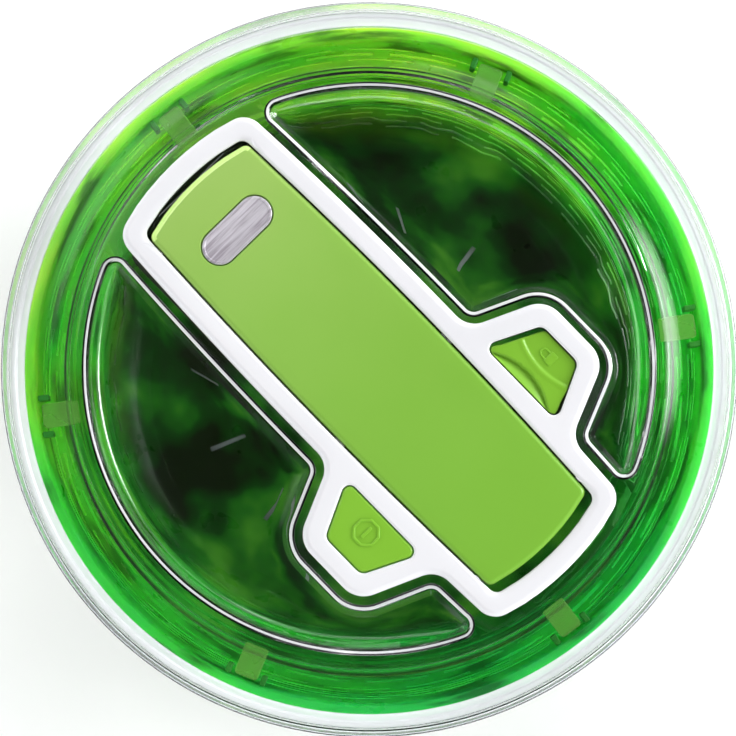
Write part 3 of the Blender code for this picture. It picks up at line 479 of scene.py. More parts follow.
def painted_sheen_lengthwise(mat, lo, hi, tint):
    """Painted sheen along the object's length: its own colour at lo, multiplied down towards tint at hi, so the lo end
    looks lit.
    """
    nt = mat.node_tree
    base = nt.nodes["Principled BSDF"].inputs["Base Color"]
    source = base.links[0].from_socket
    coord = nt.nodes.new("ShaderNodeTexCoord")
    split = nt.nodes.new("ShaderNodeSeparateXYZ")
    nt.links.new(coord.outputs["Object"], split.inputs["Vector"])
    drift = noise(nt, 22.0, 3.0)
    place = math_node(nt, "ADD", map_range(nt, split.outputs["X"], lo, hi).outputs["Result"], math_node(nt, "MULTIPLY", math_node(nt, "SUBTRACT", drift.outputs["Fac"], 0.5), 0.35))
    tone = ramp(nt, place, [(0.0, (1.0, 1.0, 1.0)), (0.35, tuple(0.45 + 0.55 * c for c in tint)), (0.65, tuple(0.15 + 0.85 * c for c in tint)), (1.0, tint)])
    nt.links.new(mix_colour(nt, 1.0, source, tone.outputs["Color"], "MULTIPLY"), base)


def math_node(nt, op, a, b=None):
    node = nt.nodes.new("ShaderNodeMath")
    node.operation = op
    for socket, value in zip(node.inputs, (a, b)):
        if isinstance(value, (int, float)):
            socket.default_value = value
        elif value is not None:
            nt.links.new(value, socket)
    return node.outputs["Value"]


def mix_colour(nt, factor, a, b, blend="MIX"):
    node = nt.nodes.new("ShaderNodeMix")
    node.data_type, node.blend_type = "RGBA", blend
    for index, value in ((0, factor), (6, a), (7, b)):
        if isinstance(value, (int, float)):
            node.inputs[index].default_value = value
        elif isinstance(value, tuple):
            node.inputs[index].default_value = (*value, 1.0)
        else:
            nt.links.new(value, node.inputs[index])
    return node.outputs[2]


def basket_plastic():
    """Green moulding: yellower and bluer streaks that run round it; painted light makes one side yellower and lighter,
    and painted shade darkens it towards the bottom, mottled on the floor.
    """
    mat, nt, shader = material("basket_green")
    coord = nt.nodes.new("ShaderNodeTexCoord")
    split = nt.nodes.new("ShaderNodeSeparateXYZ")
    nt.links.new(coord.outputs["Object"], split.inputs["Vector"])
    x, y, z = (split.outputs[k] for k in "XYZ")
    rho = math_node(nt, "SQRT", math_node(nt, "ADD", math_node(nt, "MULTIPLY", x, x), math_node(nt, "MULTIPLY", y, y)))
    safe = math_node(nt, "MAXIMUM", rho, 0.004)

    def streaks(turns, across, detail, shift):
        pack = nt.nodes.new("ShaderNodeCombineXYZ")
        nt.links.new(math_node(nt, "ADD", math_node(nt, "MULTIPLY", math_node(nt, "DIVIDE", x, safe), turns), shift), pack.inputs["X"])
        nt.links.new(math_node(nt, "MULTIPLY", math_node(nt, "DIVIDE", y, safe), turns), pack.inputs["Y"])
        nt.links.new(math_node(nt, "MULTIPLY", math_node(nt, "ADD", rho, math_node(nt, "MULTIPLY", z, 0.35)), across), pack.inputs["Z"])
        tex = nt.nodes.new("ShaderNodeTexNoise")
        tex.inputs["Scale"].default_value = 1.0
        tex.inputs["Detail"].default_value = detail
        nt.links.new(pack.outputs["Vector"], tex.inputs["Vector"])
        return tex.outputs["Fac"]

    # painted light: one side of the basket yellower and lighter
    painted_light_lean = math_node(nt, "ADD", math_node(nt, "MULTIPLY", x, -3.4), math_node(nt, "MULTIPLY", y, 1.6))
    hue = math_node(nt, "ADD", math_node(nt, "MULTIPLY", streaks(1.6, 60.0, 3.0, 3.0), 1.5), painted_light_lean)
    body = ramp(nt, map_range(nt, hue, 0.25, 1.35).outputs["Result"], [(0.0, (0.020, 0.500, 0.085)), (0.45, (0.065, 0.650, 0.055)), (0.75, (0.250, 0.740, 0.040)), (1.0, (0.480, 0.820, 0.045))])
    dark = ramp(nt, streaks(3.2, 150.0, 4.0, 9.0), [(0.36, (0.16, 0.24, 0.20)), (0.46, (0.80, 0.86, 0.80)), (0.58, (1.0, 1.0, 1.0))])
    wall = mix_colour(nt, 0.85, body.outputs["Color"], dark.outputs["Color"], "MULTIPLY")
    # painted shade: near-black mottling low in the basket, blended in towards the bottom
    painted_shadow_noise = nt.nodes.new("ShaderNodeTexNoise")
    painted_shadow_noise.inputs["Scale"].default_value = 26.0
    painted_shadow_noise.inputs["Detail"].default_value = 3.0
    nt.links.new(coord.outputs["Object"], painted_shadow_noise.inputs["Vector"])
    painted_shade_deep = ramp(nt, painted_shadow_noise.outputs["Fac"], [(0.40, (0.012, 0.018, 0.004)), (0.49, (0.014, 0.090, 0.010)), (0.56, (0.040, 0.260, 0.020)), (0.66, (0.160, 0.520, 0.045))])
    height = map_range(nt, z, 0.018, 0.066)
    mixed = mix_colour(nt, height.outputs["Result"], painted_shade_deep.outputs["Color"], wall)
    nt.links.new(mixed, shader.inputs["Base Color"])
    nt.links.new(map_range(nt, z, 0.030, 0.070, 0.0, 0.85).outputs["Result"], shader.inputs["Subsurface Weight"])
    shader.inputs["Subsurface Radius"].default_value = (0.7, 1.0, 0.4)
    shader.inputs["Subsurface Scale"].default_value = 0.006
    smear = noise(nt, 70.0, 3.0)
    gloss = map_range(nt, smear.outputs["Fac"], 0.3, 0.7, 0.26, 0.38)
    nt.links.new(gloss.outputs["Result"], shader.inputs["Roughness"])
    fine = noise(nt, 1800.0, 2.0)
    bump(nt, shader, fine.outputs["Fac"], 0.06, 0.0002)
    return mat


def brushed(mat, stretch, scale, dark):
    """Darker and lighter brush lines in a metal's colour."""
    nt = mat.node_tree
    base = nt.nodes["Principled BSDF"].inputs["Base Color"]
    lines = noise(nt, scale, 3.0, 0.6, stretch)
    tone = ramp(nt, lines.outputs["Fac"], [(0.36, dark), (0.50, (0.93, 0.92, 0.93)), (0.62, (1.0, 1.0, 1.0))])
    if base.links:
        source = base.links[0].from_socket
    else:
        flat = nt.nodes.new("ShaderNodeRGB")
        flat.outputs[0].default_value = base.default_value[:]
        source = flat.outputs[0]
    nt.links.new(mix_colour(nt, 1.0, source, tone.outputs["Color"], "MULTIPLY"), base)


def metal(name, colour, rough, stretch, scale=900.0, depth=0.12, metallic=1.0):
    """Drawn or brushed metal: long fine scratches along one way."""
    mat, nt, shader = material(name)
    lines = noise(nt, scale, 4.0, 0.6, stretch=stretch)
    tone = ramp(nt, lines.outputs["Fac"], [(0.3, tuple(c * 0.80 for c in colour)), (0.7, colour)])
    nt.links.new(tone.outputs["Color"], shader.inputs["Base Color"])
    gloss = map_range(nt, lines.outputs["Fac"], 0.3, 0.7, rough - 0.06, rough + 0.10)
    nt.links.new(gloss.outputs["Result"], shader.inputs["Roughness"])
    bump(nt, shader, lines.outputs["Fac"], depth, 0.0001)
    shader.inputs["Metallic"].default_value = metallic
    return mat


BASKET = basket_plastic()
# painted sheen: the lever's badge end is left lighter and the far end darker
painted_sheen_lengthwise(LEVER, -0.088, 0.088, (0.60, 0.86, 0.36))
STEEL = metal("drawn_steel", (0.62, 0.63, 0.65), 0.24, (1.0, 1.0, 0.08))
BADGE = metal("brushed_badge", (0.80, 0.765, 0.83), 0.42, (1.0, 0.05, 1.0), scale=1700.0, depth=0.35, metallic=0.45)
brushed(BADGE, (1.0, 0.05, 1.0), 900.0, (0.62, 0.58, 0.62))

# ================================================================ bowl and foot
outer = spline([(86.5, 2.6), (92.5, 5.0), (100.5, 11.6), (109.3, 23.8), (118.0, 44.5), (124.0, 70.0), (127.5, 98.0), (128.6, 117.0)], 5)
inner = spline([(126.6, 117.5), (126.0, 107.0), (125.1, 96.0), (121.6, 70.6), (115.7, 45.4), (107.1, 25.6), (98.6, 14.2), (91.0, 8.8), (84.0, 7.6)], 5)
profile = [(0, 2.6)] + rounded([(73.9, 2.6, 0.4), (73.9, 5.2, 0.4), (84.1, 5.2, 0.4), (84.1, 2.6, 0.4)], 30, (0, 2.6), (86.5, 2.6))
profile += outer + rounded([(129.2, 119.6, 1.0), (131.0, 120.8, 0.8), (131.0, 128.0, 0.9), (128.1, 128.0, 0.35), (128.1, 121.9, 0.4), (126.6, 121.9, 0.5)], 18, (128.6, 117.0), (126.6, 117.5))
profile += inner + [(14.0, 7.6)] + spline([(10.0, 7.9), (6.0, 9.2), (4.2, 11.6), (4.0, 14.0)], 3) + [(4.0, 17.6), (3.7, 18.6), (2.9, 19.3), (0, 19.4)]
bowl = put("bowl_shell", turned_skin(profile).mesh("bowl_shell"), "bowl", ["bowl"], [CLEAR_BOWL, RIM_PAINTED_LIGHT], sharp=40, weighted=False)
for face in bowl.data.polygons:                                 # the thick rim is half milky white: painted light for the bright look it has from above
    if face.center.z / MM > 118.0 and math.hypot(face.center.x, face.center.y) / MM < 127.2:
        face.material_index = 1

foot = rounded([(74.3, 0.0, 1.0), (83.7, 0.0, 1.0), (83.7, 4.9, 0.5), (74.3, 4.9, 0.5)], 22)
put("foot_ring_soft", turned_skin(foot).mesh("foot_ring_soft"), "bowl", ["foot_ring"], [FOOT])


# ================================================================ basket
def basket_mesh():
    """The basket as two skins, with level slots in tiers through its wall and short radial ones through its floor."""
    curve = spline([(86.0, 13.0), (93.0, 15.6), (98.0, 20.0), (102.6, 26.0), (107.2, 34.6), (111.0, 45.4), (114.4, 57.0), (117.0, 70.0), (119.2, 84.0), (121.0, 100.0), (121.5, 105.0)], 8)
    tiers = [(27.0, 28.4), (32.0, 33.5), (37.5, 39.1), (43.0, 44.7), (49.0, 50.8), (55.0, 56.8), (61.0, 62.8), (67.0, 68.8), (73.0, 74.8), (79.0, 80.8), (85.0, 86.8), (91.0, 92.8)]
    radius_at = lambda z: float(np.interp(z, [p[1] for p in curve], [p[0] for p in curve]))
    cells_r = [8.6, 14, 20, 26, 36, 46, 50, 58, 66, 72, 78.0, 83.0]
    low = [p for p in curve if p[1] < 26.0]
    line = [(r, 13.0) for r in cells_r] + low
    for a, b in tiers:
        line += [(radius_at(a), a), (radius_at(b), b)]
    line += [(radius_at(z), z) for z in (97.0, 101.0)] + [(121.5, 105.0)]
    pts = [Vector(p) for p in line]
    inner_line = []
    for i, p in enumerate(pts):
        a, b = pts[max(0, i - 1)], pts[min(len(pts) - 1, i + 1)]
        t = (b - a).normalized()
        inner_line.append(tuple(p + Vector((-t.y, t.x)) * 2.0))
    rows, n = len(line), 240
    skin = Skin()
    out_rings = [skin.ring(circle(r, n), z) for r, z in line]
    in_rings = [skin.ring(circle(max(r, 8.6), n), z) for r, z in inner_line]

    def open_cell(i, j):
        r = (line[i][0] + line[i + 1][0]) / 2
        if i < len(cells_r) - 1:
            return 50.0 < r < 66.0 and j % 20 == 5
        for t, (a, b) in enumerate(tiers):
            if abs(line[i][1] - a) < 0.01 and abs(line[i + 1][1] - b) < 0.01:
                return (j + 5 * (t % 2)) % 10 < 8
        return False

    opened = np.zeros((rows - 1, n), bool)
    for i in range(rows - 1):
        for j in range(n):
            opened[i, j] = open_cell(i, j)
    for i in range(rows - 1):
        for j in range(n):
            if opened[i, j]:
                continue
            k = (j + 1) % n
            skin.f.append((out_rings[i][j], out_rings[i][k], out_rings[i + 1][k], out_rings[i + 1][j]))
            skin.f.append((in_rings[i + 1][j], in_rings[i + 1][k], in_rings[i][k], in_rings[i][j]))
            if opened[i, k]:
                skin.f.append((out_rings[i][k], in_rings[i][k], in_rings[i + 1][k], out_rings[i + 1][k]))
            if opened[i, (j - 1) % n]:
                skin.f.append((out_rings[i + 1][j], in_rings[i + 1][j], in_rings[i][j], out_rings[i][j]))
            if i + 1 < rows - 1 and opened[i + 1, j]:
                skin.f.append((out_rings[i + 1][j], out_rings[i + 1][k], in_rings[i + 1][k], in_rings[i + 1][j]))
            if i > 0 and opened[i - 1, j]:
                skin.f.append((in_rings[i][j], in_rings[i][k], out_rings[i][k], out_rings[i][j]))
    # rim flange from the top of the wall, and the raised hub in the middle of the floor
    flange = [(122.2, 106.0), (124.4, 106.3), (125.0, 106.9), (125.1, 108.0), (124.7, 108.8), (123.6, 109.0), (122.2, 109.0), (120.8, 108.7), (120.0, 107.6)]
    skin.chain([out_rings[-1]] + [skin.ring(circle(r, n), z) for r, z in flange] + [in_rings[-1]])
    for start, profile, top in ((in_rings[0], [(8.6, 22.8), (8.2, 24.0), (7.2, 24.5)], 24.5), (out_rings[0], [(7.3, 13.0), (7.3, 22.2)], 22.2)):
        rings = [start] + [skin.ring(circle(r, n), z) for r, z in profile]
        skin.chain(rings)
        skin.v.append((0, 0, top))
        tip = len(skin.v) - 1
        for j in range(n):
            skin.f.append((rings[-1][j], rings[-1][(j + 1) % n], tip))
    return skin.mesh("basket_body")


basket = put("basket_body", basket_mesh(), "basket", ["basket"], [BASKET], sharp=38, weighted=False)


def rib_block(skin, x0, x1, y0, y1, z0, z1, spin, r=0.5):
    """A small upright block with rounded vertical edges and softened ends, turned about the bowl's axis."""
    loop = filleted([(x0, y0, r), (x1, y0, r), (x1, y1, r), (x0, y1, r)], 30)
    turn = Matrix.Rotation(spin, 2)
    place = lambda pts: [tuple(turn @ Vector(p)) for p in pts]
    rings = [skin.ring(place(offset(loop, -0.35)), z0), skin.ring(place(loop), z0 + 0.35), skin.ring(place(loop), z1 - 0.35), skin.ring(place(offset(loop, -0.35)), z1)]
    skin.chain(rings)
    skin.f.append(tuple(reversed(rings[0])))
    skin.f.append(tuple(rings[-1]))


skin = Skin()
for k in range(6):
    for side in (-1, 1):
        rib_block(skin, 115.2, 119.6, side * 6.6 - 1.0, side * 6.6 + 1.0, 98.5, 108.3, math.tau * k / 6 + LUG_TURN)
ribs = put("basket_drive_ribs", skin.mesh("basket_drive_ribs"), "basket", (), [RIB_PAINTED_SHADE])

# ================================================================ drive disc
disc = rounded([(3.3, 104.6, 0), (8.6, 104.6, 0.6), (9.6, 106.0, 0.8), (106.8, 106.0, 0.4), (107.6, 104.9, 0.5), (109.6, 104.9, 0.6), (110.0, 106.5, 0.3),
                (110.0, 109.1, 0.6), (108.4, 109.1, 0.5), (107.4, 108.2, 0.5), (9.8, 108.2, 0.8), (8.6, 109.5, 0.6), (3.3, 109.5, 0)], 30)
disc_obj = put("drive_disc_clear", turned_skin(disc, 144).mesh("drive_disc_clear"), "drive", ["drive_disc"], [CLEAR_DISC], weighted=False)
skin = Skin()
for k in range(6):
    rib_block(skin, 105.2, 118.6, -4.4, 4.4, 106.1, 108.3, math.tau * k / 6 + LUG_TURN, r=1.4)
put("drive_disc_lugs", skin.mesh("drive_disc_lugs"), "drive", (), [LUG])

# ================================================================ lid
HOUSING_LOOP = dense(bar_outline(100.0, 34.3, 2.5, 8.0, lobes=True), 3.0)


def recess_loop(side):
    """Outline of a half-moon recess at the lid's top surface, counter-clockwise, with rounded corners."""
    guide = bar_outline(100.0, 34.3, 2.5, 8.0, lobes=True)
    guide = offset(dense(guide, 1.5), 5.0)
    limit = 100.3
    # the guide's upper side, from +X to -X, within the circle
    n = len(guide)
    start = max(range(n), key=lambda i: guide[i][0] if abs(guide[i][1]) < 1.5 else -1e9)
    order = [guide[(start + i) % n] for i in range(n)]
    upper = []
    for p in order:
        if p[1] < 0 and upper:
            break
        if p[1] > 20.0 and math.hypot(*p) < limit:
            upper.append(p)
    a0, a1 = math.atan2(upper[0][1], upper[0][0]), math.atan2(upper[-1][1], upper[-1][0])
    # move the corner points onto the circle along the guide's end directions
    y0, y1 = upper[0][1], upper[-1][1]
    c0 = (math.sqrt(limit**2 - y0 * y0), y0)
    c1 = (-math.sqrt(limit**2 - y1 * y1), y1)
    b0, b1 = math.atan2(c0[1], c0[0]), math.atan2(c1[1], c1[0])
    arc = [(limit * math.cos(b0 + (b1 - b0) * i / 90), limit * math.sin(b0 + (b1 - b0) * i / 90), 0) for i in range(1, 90)]
    r = 3.6
    keep_arc = [p for p in arc if math.hypot(p[0] - c0[0], p[1] - c0[1]) > 6.5 and math.hypot(p[0] - c1[0], p[1] - c1[1]) > 6.5]
    keep_up = [(x, y, 0) for x, y in upper if math.hypot(x - c0[0], y - c0[1]) > 6.5 and math.hypot(x - c1[0], y - c1[1]) > 6.5]
    corners = [(*c0, r)] + keep_arc + [(*c1, r)] + list(reversed(keep_up))
    loop = clean(filleted(corners, 9.0), 0.05)
    area = sum(a[0] * b[1] - b[0] * a[1] for a, b in zip(loop, loop[1:] + loop[:1]))
    if area < 0:
        loop = loop[::-1]
    return loop if side > 0 else [(x, -y) for x, y in reversed(loop)]


def lid_mesh():
    skin = Skin()
    top_z, floor_z, wall = 130.5, 124.2, 2.2
    over = spline([(103.4, top_z), (105.4, 129.9), (108.4, 128.0), (112.0, 126.4), (117.0, 125.5), (123.0, 125.1)], 4)
    edge = rounded([(125.4, 125.1, 0.5), (126.0, 125.7, 0.5), (127.7, 125.7, 0.35), (127.7, 122.4, 0.4), (125.5, 122.4, 0.6), (125.3, 116.0, 0.7), (123.5, 116.0, 0.7), (123.4, 122.9, 0.6)], 22, (123.0, 125.1), (118.0, 123.2))
    below = spline([(118.0, 123.2), (112.6, 124.0), (109.0, 125.5), (106.0, 127.4), (104.0, 128.2), (102.8, 128.3)], 4)
    chain = [skin.ring(circle(r, TURN), z) for r, z in over + edge + below]
    skin.chain(chain)
    tops, unders = [chain[0]], [chain[-1]]
    for side in (1, -1):
        loop = recess_loop(side)
        rings = []
        for k in range(5):                                      # rounded lip
            a = math.radians(90 * k / 4)
            rings.append(skin.ring(offset(loop, 1.1 * (1 - math.sin(a))), top_z - 1.1 * (1 - math.cos(a))))
        wide = lambda x, y: smooth_step((math.hypot(x, y) - 95.0) / 4.0) * smooth_step((abs(y) - 42.0) / 16.0)
        for k in range(9):                                      # rounded foot of the wall, wide along the outer side
            a = math.radians(90 * k / 8)
            away, down = 0.35 * (1 - math.cos(a)) + 0.65 * k / 8, 0.35 * math.sin(a) + 0.65 * k / 8
            rings.append(skin.ring(offset(loop, lambda x, y, f=away: -0.7 - (2.0 + 3.6 * wide(x, y)) * f), lambda x, y, f=down: floor_z + (2.0 + 2.4 * wide(x, y)) * (1 - f)))
        skin.chain(rings)
        tops.append(rings[0])
        skin.fill([rings[-1]], floor_z, 7.0)
        rings = []
        for k in range(9):
            a = math.radians(90 * k / 8)
            rings.append(skin.ring(offset(loop, lambda x, y, a=a: -2.7 - 3.6 * wide(x, y) + (4.2 + 3.6 * wide(x, y)) * math.sin(a)), lambda x, y, a=a: floor_z - wall + 4.2 * (1 - math.cos(a))))
        rings.append(skin.ring(offset(loop, 1.9), top_z - wall))
        skin.chain(rings)
        skin.fill([rings[0]], floor_z - wall, 7.0)
        unders.append(rings[-1])
    holes = [filleted([(17.0, -26.0, 4), (17.0, 26.0, 4), (-84.0, 26.0, 4), (-91.0, 18.0, 3), (-91.0, -18.0, 3), (-84.0, -26.0, 4)], 15), circle(6.2, 28, (BUTTON_X, -43.0))]
    for hole in holes:
        if sum(a[0] * b[1] - b[0] * a[1] for a, b in zip(hole, hole[1:] + hole[:1])) < 0:
            hole = hole[::-1]
        a, b = skin.ring(hole, top_z), skin.ring(hole, top_z - wall)
        skin.bridge(a, b)
        tops.append(a)
        unders.append(b)
    skin.fill(tops, top_z, 9.0)
    skin.fill(unders, top_z - wall, 9.0)
    return skin.mesh("lid_shell")


lid = put("lid_shell", lid_mesh(), "lid", ["lid"], [CLEAR_LID, EDGE_PAINTED_HIGHLIGHT, RIM_PAINTED_LIGHT, CLEAR_WALL], sharp=48, weighted=False)
for face in lid.data.polygons:                                  # the rounded lip of the two recesses gets the painted highlight
    c = face.center / MM
    on_arc = math.hypot(c.x, c.y) > 99.0
    if 129.25 < c.z < 130.49 and math.hypot(c.x, c.y) < 101.6 and abs(c.y) > 28.0 and (0.80 if on_arc else 0.12) < abs(face.normal.z) < 0.995:
        face.material_index = 1
    # the lid's rim band gets the same painted light
    elif 122.3 < math.hypot(c.x, c.y) < 127.4:
        face.material_index = 2
    elif 88.0 < math.hypot(c.x, c.y) < 101.0 and 124.25 < c.z < 129.6 and 0.05 < face.normal.z < 0.99:
        face.material_index = 3

# ================================================================ housing
OPEN_LOOP = dense(bar_outline(92.0, 26.5, 2.5, 3.6), 3.0)
LEVER_LOOP = [(x - 1.5 * smooth_step((-x - 70.0) / 12.0), y) for x, y in dense(bar_outline(88.5, 26.0, 2.5, 3.0), 3.0)]


def housing_mesh():
    skin = Skin()
    edge = 2.3
    outside = []
    for k in range(6):
        a = math.radians(90 * k / 5)
        outside.append(skin.ring(offset(HOUSING_LOOP, -edge * (1 - math.sin(a))), lambda x, y, a=a: crown(x) - edge * (1 - math.cos(a))))
    outside.append(skin.ring(HOUSING_LOOP, 131.3))
    outside.append(skin.ring(offset(HOUSING_LOOP, -0.4), 130.9))
    outside.append(skin.ring(offset(HOUSING_LOOP, -1.9), 130.9))
    outside.append(skin.ring(offset(HOUSING_LOOP, -2.1), 131.2))
    outside.append(skin.ring(offset(HOUSING_LOOP, -2.2), lambda x, y: crown(x) - 2.2))
    skin.chain(outside)
    tops, unders = [outside[0]], [outside[-1]]
    wells = [(OPEN_LOOP, lambda x, y: 1.3 + 1.5 * smooth_step((abs(x) - 78.0) / 9.0), 1.3, 1.7, 133.2)]
    wells += [(button_outline(side, 0.25), lambda x, y: 0.9, 0.8, 1.4, 136.4) for side in (-1, 1)]
    for loop, lip, drop, thick, low in wells:
        rings = []
        for k in range(6):
            a = math.radians(90 * k / 5)
            rings.append(skin.ring(offset(loop, lambda x, y, a=a: lip(x, y) * (1 - math.sin(a))), lambda x, y, a=a: crown(x) - drop * (1 - math.cos(a))))
        rings.append(skin.ring(loop, low + 0.3))
        rings.append(skin.ring(offset(loop, 0.3), low))
        rings.append(skin.ring(offset(loop, thick), low))
        rings.append(skin.ring(offset(loop, thick), lambda x, y: crown(x) - 2.2))
        skin.chain(rings)
        tops.append(rings[0])
        unders.append(rings[-1])
    skin.fill(tops, lambda x, y: crown(x), 3.2)
    skin.fill(unders, lambda x, y: crown(x) - 2.2, 8.0)
    return skin.mesh("housing_shell")


housing = put("housing_shell", housing_mesh(), "lid", ["housing"], [WHITE, WELL_PAINTED_SHADE], sharp=40)
WELLS = [offset(OPEN_LOOP, 0.9)] + [button_outline(side, 1.1) for side in (-1, 1)]
centres = [face.center / MM for face in housing.data.polygons]
within = [inside([well], [c[:2] for c in centres]) for well in WELLS]
for i, face in enumerate(housing.data.polygons):                # walls of the wells, seen only through the gaps, painted near-black as shade
    if abs(face.normal.z) < 0.35 and centres[i].z < crown(centres[i].x) - (1.2 if within[0][i] else 0.75) and any(w[i] for w in within):
        face.material_index = 1

# bosses and hinge ears inside it
skin = Skin()
for x, y in ((-84.0, 28.2), (-84.0, -28.2), (12.0, 28.2), (12.0, -28.2), (80.0, 27.6), (80.0, -27.6)):
    turned_skin(rounded([(2.0, 131.2, 0), (3.1, 131.2, 0.3), (3.1, 142.0, 0), (2.0, 142.0, 0)], 30), 20, True, skin, (x, y))
put("housing_bosses", skin.mesh("housing_bosses"), "lid", (), [WHITE])


# ================================================================ lever
def lever_top(x, y):
    return crown(x) + 0.2 - 0.25 * (y / 26.0) ** 2


BADGE_LOOP = dense(filleted([(-73.4, -15.2, 6.6), (-60.0, -15.2, 6.6), (-60.0, 15.2, 6.6), (-73.4, 15.2, 6.6)], 6), 1.5)


def lever_mesh():
    skin = Skin()
    edge = 1.9
    rings = []
    for k in range(6):
        a = math.radians(90 * k / 5)
        rings.append(skin.ring(offset(LEVER_LOOP, -edge * (1 - math.sin(a))), lambda x, y, a=a: lever_top(x, y) - edge * (1 - math.cos(a))))
    rings.append(skin.ring(LEVER_LOOP, 135.7))
    rings.append(skin.ring(offset(LEVER_LOOP, -0.3), 135.4))
    rings.append(skin.ring(offset(LEVER_LOOP, -1.6), 135.4))
    rings.append(skin.ring(offset(LEVER_LOOP, -1.8), 135.6))
    rings.append(skin.ring(offset(LEVER_LOOP, -1.8), lambda x, y: crown(x) - 2.0))
    skin.chain(rings)
    seat = []
    for k in range(4):
        a = math.radians(90 * k / 3)
        seat.append(skin.ring(offset(BADGE_LOOP, 0.35 * (1 - math.sin(a))), lambda x, y, a=a: lever_top(x, y) - 0.35 * (1 - math.cos(a))))
    seat.append(skin.ring(BADGE_LOOP, lambda x, y: lever_top(x, y) - 1.3))
    skin.chain(seat)
    skin.fill([seat[-1]], lambda x, y: lever_top(x, y) - 1.3, 3.0)
    skin.fill([rings[0], seat[0]], lever_top, 3.0)
    skin.fill([rings[-1]], lambda x, y: crown(x) - 2.0, 8.0)
    return skin.mesh("lever_skin")


lever = put("lever_skin", lever_mesh(), "lever", ["lever_cover"], [LEVER, LEVER_END_PAINTED_HIGHLIGHT], sharp=40)
for face in lever.data.polygons:                                # its hinge end's rounding, painted lighter as a highlight
    c = face.center / MM
    if c.x < -84.0 and abs(c.y) < 25.0 and 0.25 < face.normal.z < 0.985 and math.hypot(c.x, c.y) > 86.6:
        face.material_index = 1


def badge_mesh():
    skin = Skin()
    loop = offset(BADGE_LOOP, -0.45)
    top = lambda x, y: lever_top(x, y) + 0.1
    rings = [skin.ring(loop, lambda x, y: top(x, y) - 1.3)]
    for k in range(4):
        a = math.radians(90 * k / 3)
        rings.append(skin.ring(offset(loop, -0.5 * (1 - math.cos(a))), lambda x, y, a=a: top(x, y) - 0.5 * (1 - math.sin(a))))
    rings.append(skin.ring(offset(loop, -0.95), top))
    rings.append(skin.ring(offset(loop, -1.15), lambda x, y: top(x, y) - 0.22))
    skin.chain(rings)
    skin.fill([rings[0]], lambda x, y: top(x, y) - 1.3, 3.0)
    skin.fill([rings[-1]], lambda x, y: top(x, y) - 0.22 + 0.18 * max(0.0, 1 - ((x + 66.7) / 5.6) ** 2) * max(0.0, 1 - (y / 14) ** 4), 1.4)
    return skin.mesh("badge_plate")


put("badge_plate", badge_mesh(), "lever", ["badge"], [BADGE], sharp=40)


# ================================================================ buttons
def button_mesh(name, side, top, low, edge=0.9, spacing=1.6, inset=None, under=139.6):
    skin = Skin()
    loop = button_outline(side, -0.1)
    if inset:
        loop = offset(loop, lambda x, y: -inset(x, y))
    rings = []
    for k in range(5):
        a = math.radians(90 * k / 4)
        rings.append(skin.ring(offset(loop, -edge * (1 - math.sin(a))), lambda x, y, a=a: top(x, y) - edge * (1 - math.cos(a))))
    rings.append(skin.ring(loop, low))
    rings.append(skin.ring(offset(loop, -1.7), low))
    rings.append(skin.ring(offset(loop, -1.9), under))
    skin.chain(rings)
    skin.fill([rings[0]], top, spacing, 0.45)
    skin.fill([rings[-1]], under, 5.0)
    return skin.mesh(name)


def stop_top(x, y):
    return crown(x) - 0.25


put("stop_button_cap", button_mesh("stop_button_cap", -1, stop_top, 137.0), "stop_button", ["stop_button"], [BUTTON], sharp=40)


def raised(skin, outer, inner, base, height, r=0.16):
    """A low raised mark, ring-shaped where it has an inner outline."""
    up = lambda d: (lambda x, y: base(x, y) + d)
    chain = [skin.ring(outer, up(-0.3)), skin.ring(outer, up(height - r)), skin.ring(offset(outer, -r * 0.4), up(height - r * 0.3)), skin.ring(offset(outer, -r), up(height))]
    skin.chain(chain)
    if inner:
        low = [skin.ring(inner, up(-0.3)), skin.ring(inner, up(height - r)), skin.ring(offset(inner, r * 0.4), up(height - r * 0.3)), skin.ring(offset(inner, r), up(height))]
        skin.chain(low)
        skin.fill([chain[-1], low[-1]], up(height), 1.5)
        skin.fill([chain[0], low[0]], up(-0.3), 1.5)
    else:
        skin.fill([chain[-1]], up(height), 1.5)
        skin.fill([chain[0]], up(-0.3), 1.5)


def octagon(r, at):
    pts = [(at[0] + r * math.cos(math.radians(22.5 + 45 * k)), at[1] + r * math.sin(math.radians(22.5 + 45 * k)), 0.5) for k in range(8)]
    return dense(filleted(pts, 22), 0.8)


skin = Skin()
mark = (BUTTON_X - 0.2, -41.8)
raised(skin, octagon(5.2, mark), octagon(4.2, mark), stop_top, 0.34)
raised(skin, dense(filleted([(mark[0] - 0.62, mark[1] - 2.5, 0.4), (mark[0] + 0.62, mark[1] - 2.5, 0.4), (mark[0] + 0.62, mark[1] + 2.5, 0.4), (mark[0] - 0.62, mark[1] + 2.5, 0.4)], 22), 0.8), None, stop_top, 0.34)
put("stop_button_mark", skin.mesh("stop_button_mark"), "stop_button", (), [BUTTON], sharp=50)


def side_distance(x, y, a, b):
    """Distance of a point to the left of the line from a to b."""
    dx, dy = b[0] - a[0], b[1] - a[1]
    return (dx * (y - a[1]) - dy * (x - a[0])) / math.hypot(dx, dy)


def lock_top(x, y):
    """The lock button's face: a lens-shaped thumb scoop by the lever, a raised strip, and a lower face beyond a crease."""
    base = crown(x) - 0.95
    arc = 16.0 + math.sqrt(max(0.0, 23.0**2 - (x - 40.9) ** 2))
    crease = 42.4 + 0.019 * (x - 43.0) ** 2
    z = base - 0.45 * smooth_step((y - crease) / 0.7)
    z += 0.25 * math.exp(-((y - crease + 0.7) / 0.8) ** 2)
    t = smooth_step((arc - y) / 0.7)
    lens = min(1.0, max(0.0, (arc - y) / max(0.6, arc - 33.7)))
    z = z * (1 - t) + (base - 1.7 + 2.1 * lens**1.3) * t
    return max(z, 140.6)


